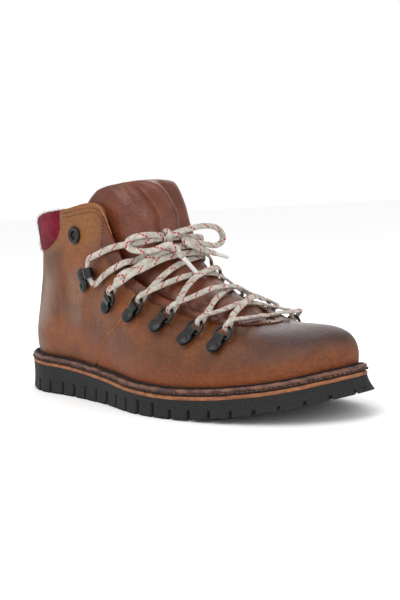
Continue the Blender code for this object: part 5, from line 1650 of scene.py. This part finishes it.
def lining():
    """Inside of the shaft and toe, joined over the forefoot."""
    columns, rows = 110, 40
    r = np.linspace(0, 1, columns)[:, None]
    v = np.linspace(0, 1, rows)[None, :]
    throat = PLACES[CORNER_RIB]
    edge = 1 - 0.13 * np.clip((r - throat) / 0.04, 0, 1)
    closing = np.clip((r - PLACES[FIRST_RIDGE_RIB]) /
                      (PLACES[FIRST_RIDGE_RIB + 1] - PLACES[FIRST_RIDGE_RIB]), 0, 1)
    edge = edge + (1 - edge) * closing
    top = np.minimum(edge, quarter_top(r - 0.03) - 0.015 * (r < PAD_END + 0.06))
    outer, inner = (upper(side, r, top * v, LINING_DEPTH) for side in (-1, 1))
    for where in (0, -1, (r[:, 0] >= PLACES[FIRST_RIDGE_RIB + 1], -1)):
        meet(outer, inner, where)
    grid = np.concatenate([outer, inner[-2:0:-1]])
    item = build("lining_leather_inside", grid, grid_quads(len(grid), rows, True, False),
                 MATERIALS["lining"], slot="lining_leather", cad=("lining",))
    face_out(item, (0.0, -1.0, 0.2), (columns // 4) * (rows - 1) + rows // 2)
    thicken(item, LINING_THICKNESS, -1.0)


# ---------------------------------------------------------------- tongue
def furrow(t, q, path, width, depth):
    """Long soft crease: path gives q at shares t, width in q, depth in mm."""
    ts, qs = np.array(path, float).T
    middle = np.interp(t, ts, qs)
    ends = bump_step(t, ts[0], ts[0] + 0.06) * (1 - bump_step(t, ts[-1] - 0.06, ts[-1]))
    return -depth * ends * np.exp(-((q - middle) / width)**2)


def tongue_surface():
    """One tongue from base to top with soft vertical folds."""
    rows = np.array(TONGUE)
    share = arc_share(rows[:, :2] * [HALF, 1])
    hinge = float(np.interp(TONGUE_HINGE_HEIGHT, rows[:, 1], share))
    t = np.linspace(0, 1, 190)[:, None]
    q = np.linspace(-1 - TONGUE_WRAP, 1 + TONGUE_WRAP, 150)[None, :]
    crown = 1 - 0.16 * np.abs(q / (1 + TONGUE_WRAP))**3 - 0.03 * bump_step(q, 0.0, 0.9)
    tt = t * crown
    lift = sum(furrow(tt, q, *fold) for fold in TONGUE_FOLDS)
    lift = lift + 0.7 * lumps(tongue(tt, q), 34.0, 41)
    rim = bump_step(t, 0.985, 1.0)
    grid = tongue(tt, q + 0 * tt, lift - 0.8 * rim)
    uv = skin_uv(tt, q + 0 * tt)
    item = leather_sheet("tongue_leather", grid, 2.0, MATERIALS["red"], uv, (0.8, 0.0, 0.3),
                         slot="red_leather", cad=("tongue", "tongue_top"), body=None)
    axis = tongue(np.array(hinge), np.array(0.0)) * MM + SHIFT
    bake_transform(item)


# ---------------------------------------------------------------- hardware
def strip(path, across):
    """Grid of a strip whose side view follows path, with points across it at the
    given offsets."""
    along, out = (np.broadcast_to(path[:, None, k], across.shape) for k in (0, 1))
    return np.stack([along, across, out], -1)


def ring(side, k, tag):
    """D-ring: round wire swept along its outline, tilted up from its strap."""
    tilt = math.radians(RING_TILT)
    flat_ring = ring_outline(41)
    path = in_frame(RINGS[side, k], np.column_stack([
        flat_ring[:, 0] * math.cos(tilt), flat_ring[:, 1], flat_ring[:, 0] * math.sin(tilt)]))
    along = unit(np.roll(path, -1, 0) - np.roll(path, 1, 0))
    plane = unit(np.cross(path[len(path) // 3] - path[0], path[2 * len(path) // 3] - path[0]))
    beside = unit(np.cross(along, plane))
    up = np.cross(beside, along)
    angle = np.linspace(0, 2 * math.pi, 14, endpoint=False)
    grid = path[:, None] + RING_WIRE * (beside[:, None] * np.cos(angle)[None, :, None]
                                        + up[:, None] * np.sin(angle)[None, :, None])
    name = "ring_%s_%d" % (tag, k + 1)
    recalculated(build("d_" + name, grid, grid_quads(len(path), 14, True, True), cad=(name,),
                       body=name, **METAL))


def clip(side, k, tag):
    """Folded strap: plate, sleeve round the bar and a domed, rounded end."""
    path = spaced(strap_path(), 0.7)
    over = np.clip(-STRAP_LENGTH - path[:, 0], 0, STRAP_HALF_WIDTH - 0.05)
    half = np.sqrt(STRAP_HALF_WIDTH**2 - over**2)
    near = bump_step(path[:, 0], -4.6, -2.6)
    half = half + (SLEEVE_HALF_WIDTH - STRAP_HALF_WIDTH) * near
    grid = strip(path, half[:, None] * np.linspace(-1, 1, 17))
    top = (np.arange(len(path)) > 0.6 * len(path))[:, None]
    from_rivet = (grid[..., 0] + STRAP_LENGTH + 0.4)**2 + grid[..., 1]**2
    dome = np.clip(1 - from_rivet / (STRAP_HALF_WIDTH - 0.7)**2, 0, 1)
    ridge = np.exp(-((grid[..., 0] + 2.9) / 0.5)**2)
    grid[..., 2] += (1.1 * np.sqrt(dome) + 0.35 * ridge) * top
    word = "%s_%d" % (tag, k + 1)
    item = build("clip_" + word, in_frame(RINGS[side, k], grid), grid_quads(len(path), 17),
                 cad=("ring_strap_" + word,), **METAL)
    thicken(item, STRAP_THICKNESS, 0.0, 0.22)


def eyelet(side, tag):
    """Rolled metal ring round its hole, which a dark disc fills as painted shade."""
    shift = INNER_SHIFT / 2 if side > 0 else 0.0
    place, height = EYELET_PLACE[0] - shift, EYELET_PLACE[1]
    at = frame_on_upper(side, place, height, place, height + 0.11, GAP)
    r, h, t = EYELET_RADIUS, EYELET_RIM, EYELET_HOLE
    turn = np.linspace(math.pi, 0, 12)
    crown = [((r + t) / 2 + (r - t) / 2 * math.cos(a), 0.3 + h * math.sin(a)**0.8) for a in turn]
    profile = [(t, -1.5)] + crown + [(r, -0.4), ((r + t) / 2, -0.9)]
    turned_piece("eyelet_ring_" + tag, at, profile, closed=True, cad=("eyelet_" + tag,), **METAL)
    # Painted shade: a dark disc fills the hole where it looks into the boot.
    turned_piece("eyelet_hole_shade_" + tag, at, [(0.001, 0.12), (t * 0.6, 0.12), (t + 0.3, 0.1),
                                            (t + 0.3, -0.2), (0.001, -0.2)],
                 material=MATERIALS["hole"], slot="lining_leather")


def hook(side, tag):
    """Speed hook: plate with two rivets, curling into an open tube."""
    at = HOOKS[side]
    t = HOOK_THICKNESS
    mid = HOOK_BORE + t / 2
    path = [(-4.2, t / 2), (0.0, t / 2), (4.5, t / 2), (8.0, t / 2 + 0.6), (HOOK_REACH - 3.0, 1.6)]
    for a in np.radians(np.linspace(-70, 150, 20)):
        path.append((HOOK_REACH + mid * math.cos(a), HOOK_SEAT + mid + mid * math.sin(a)))
    path = spaced(np.array(path), 0.7)
    half = smooth([-4.3, -1.0, 4.0, 9.0, 30.0], np.array([3.2, 7.6, 6.0, 4.4, 4.6]), path[:, 0])
    grid = strip(path, half[:, None] * np.linspace(-1, 1, 15))
    item = build("hook_plate_" + tag, in_frame(at, grid), grid_quads(len(path), 15),
                 cad=("hook_" + tag,), **METAL)
    thicken(item, t, 0.0, 0.3)
    cap = HOOK_RIVET_RADIUS
    turn = np.linspace(0, math.pi / 2, 9)
    dome = [(cap * math.sin(a), 0.35 + 1.55 * math.cos(a)) for a in turn]
    dimpled = [(0.01, 1.2), (cap * 0.28, 1.25), (cap * 0.36, 1.75)] + dome[3:]
    low, high = (dimpled, dome) if side < 0 else (dome, dimpled)
    for across, word, profile in ((-HOOK_RIVET_SPREAD, "low", low),
                                  (HOOK_RIVET_SPREAD, "high", high)):
        spot = in_frame(at, (0.0, across, t + GAP - 0.25))
        shape = [(max(radius, 0.01), level) for radius, level in profile]
        shape += [(cap * 0.9, 0.0), (0.01, 0.0)]
        turned_piece("rivet_%s_%s" % (tag, word), (spot, *at[1:]), shape,
                     cad=("hook_rivet_%s_%s" % (tag, word),), **METAL)


def pull_loop():
    """Folded webbing tab hanging from the collar."""
    heel = upper(-1, 0.0, np.linspace(1.0, 0.3, 60))
    z = LOOP_TOP - LOOP_LENGTH * np.linspace(0.0, 0.97, 24)
    x = np.interp(-z, -heel[:, 2], heel[:, 0]) - STAY_THICKNESS - 2 * GAP - LOOP_THICKNESS / 2
    ply = LOOP_THICKNESS + 2 * GAP
    a = np.linspace(0, math.pi, 9)[1:-1]
    fold = np.column_stack([x[-1] - ply / 2 + ply / 2 * np.cos(a), z[-1] - ply / 2 * np.sin(a)])
    path = np.concatenate([np.column_stack([x, z]), fold,
                           np.column_stack([x - ply, z])[::-1]])
    w = np.linspace(-LOOP_WIDTH / 2, LOOP_WIDTH / 2, 20)
    grid = strip(path, np.repeat(w[None, :], len(path), 0))
    item = build("pull_loop_webbing", grid, grid_quads(len(path), 20), MATERIALS["webbing"],
                 slot="webbing", cad=("pull_loop",), body="heel_loop")
    thicken(item, LOOP_THICKNESS)


sole()
vamp()
for side, tag in ((-1, "lateral"), (1, "medial")):
    quarter(side, tag)
    facing(side, tag)
    eyelet(side, tag)
    hook(side, tag)
    for k in range(len(RING_PLACES)):
        ring(side, k, tag)
        clip(side, k, tag)
back_stay()
collar_pad()
lining()
tongue_surface()
pull_loop()
frame["nodes"]["footbed"].data.materials.clear()
frame["nodes"]["footbed"].data.materials.append(MATERIALS["footbed"])
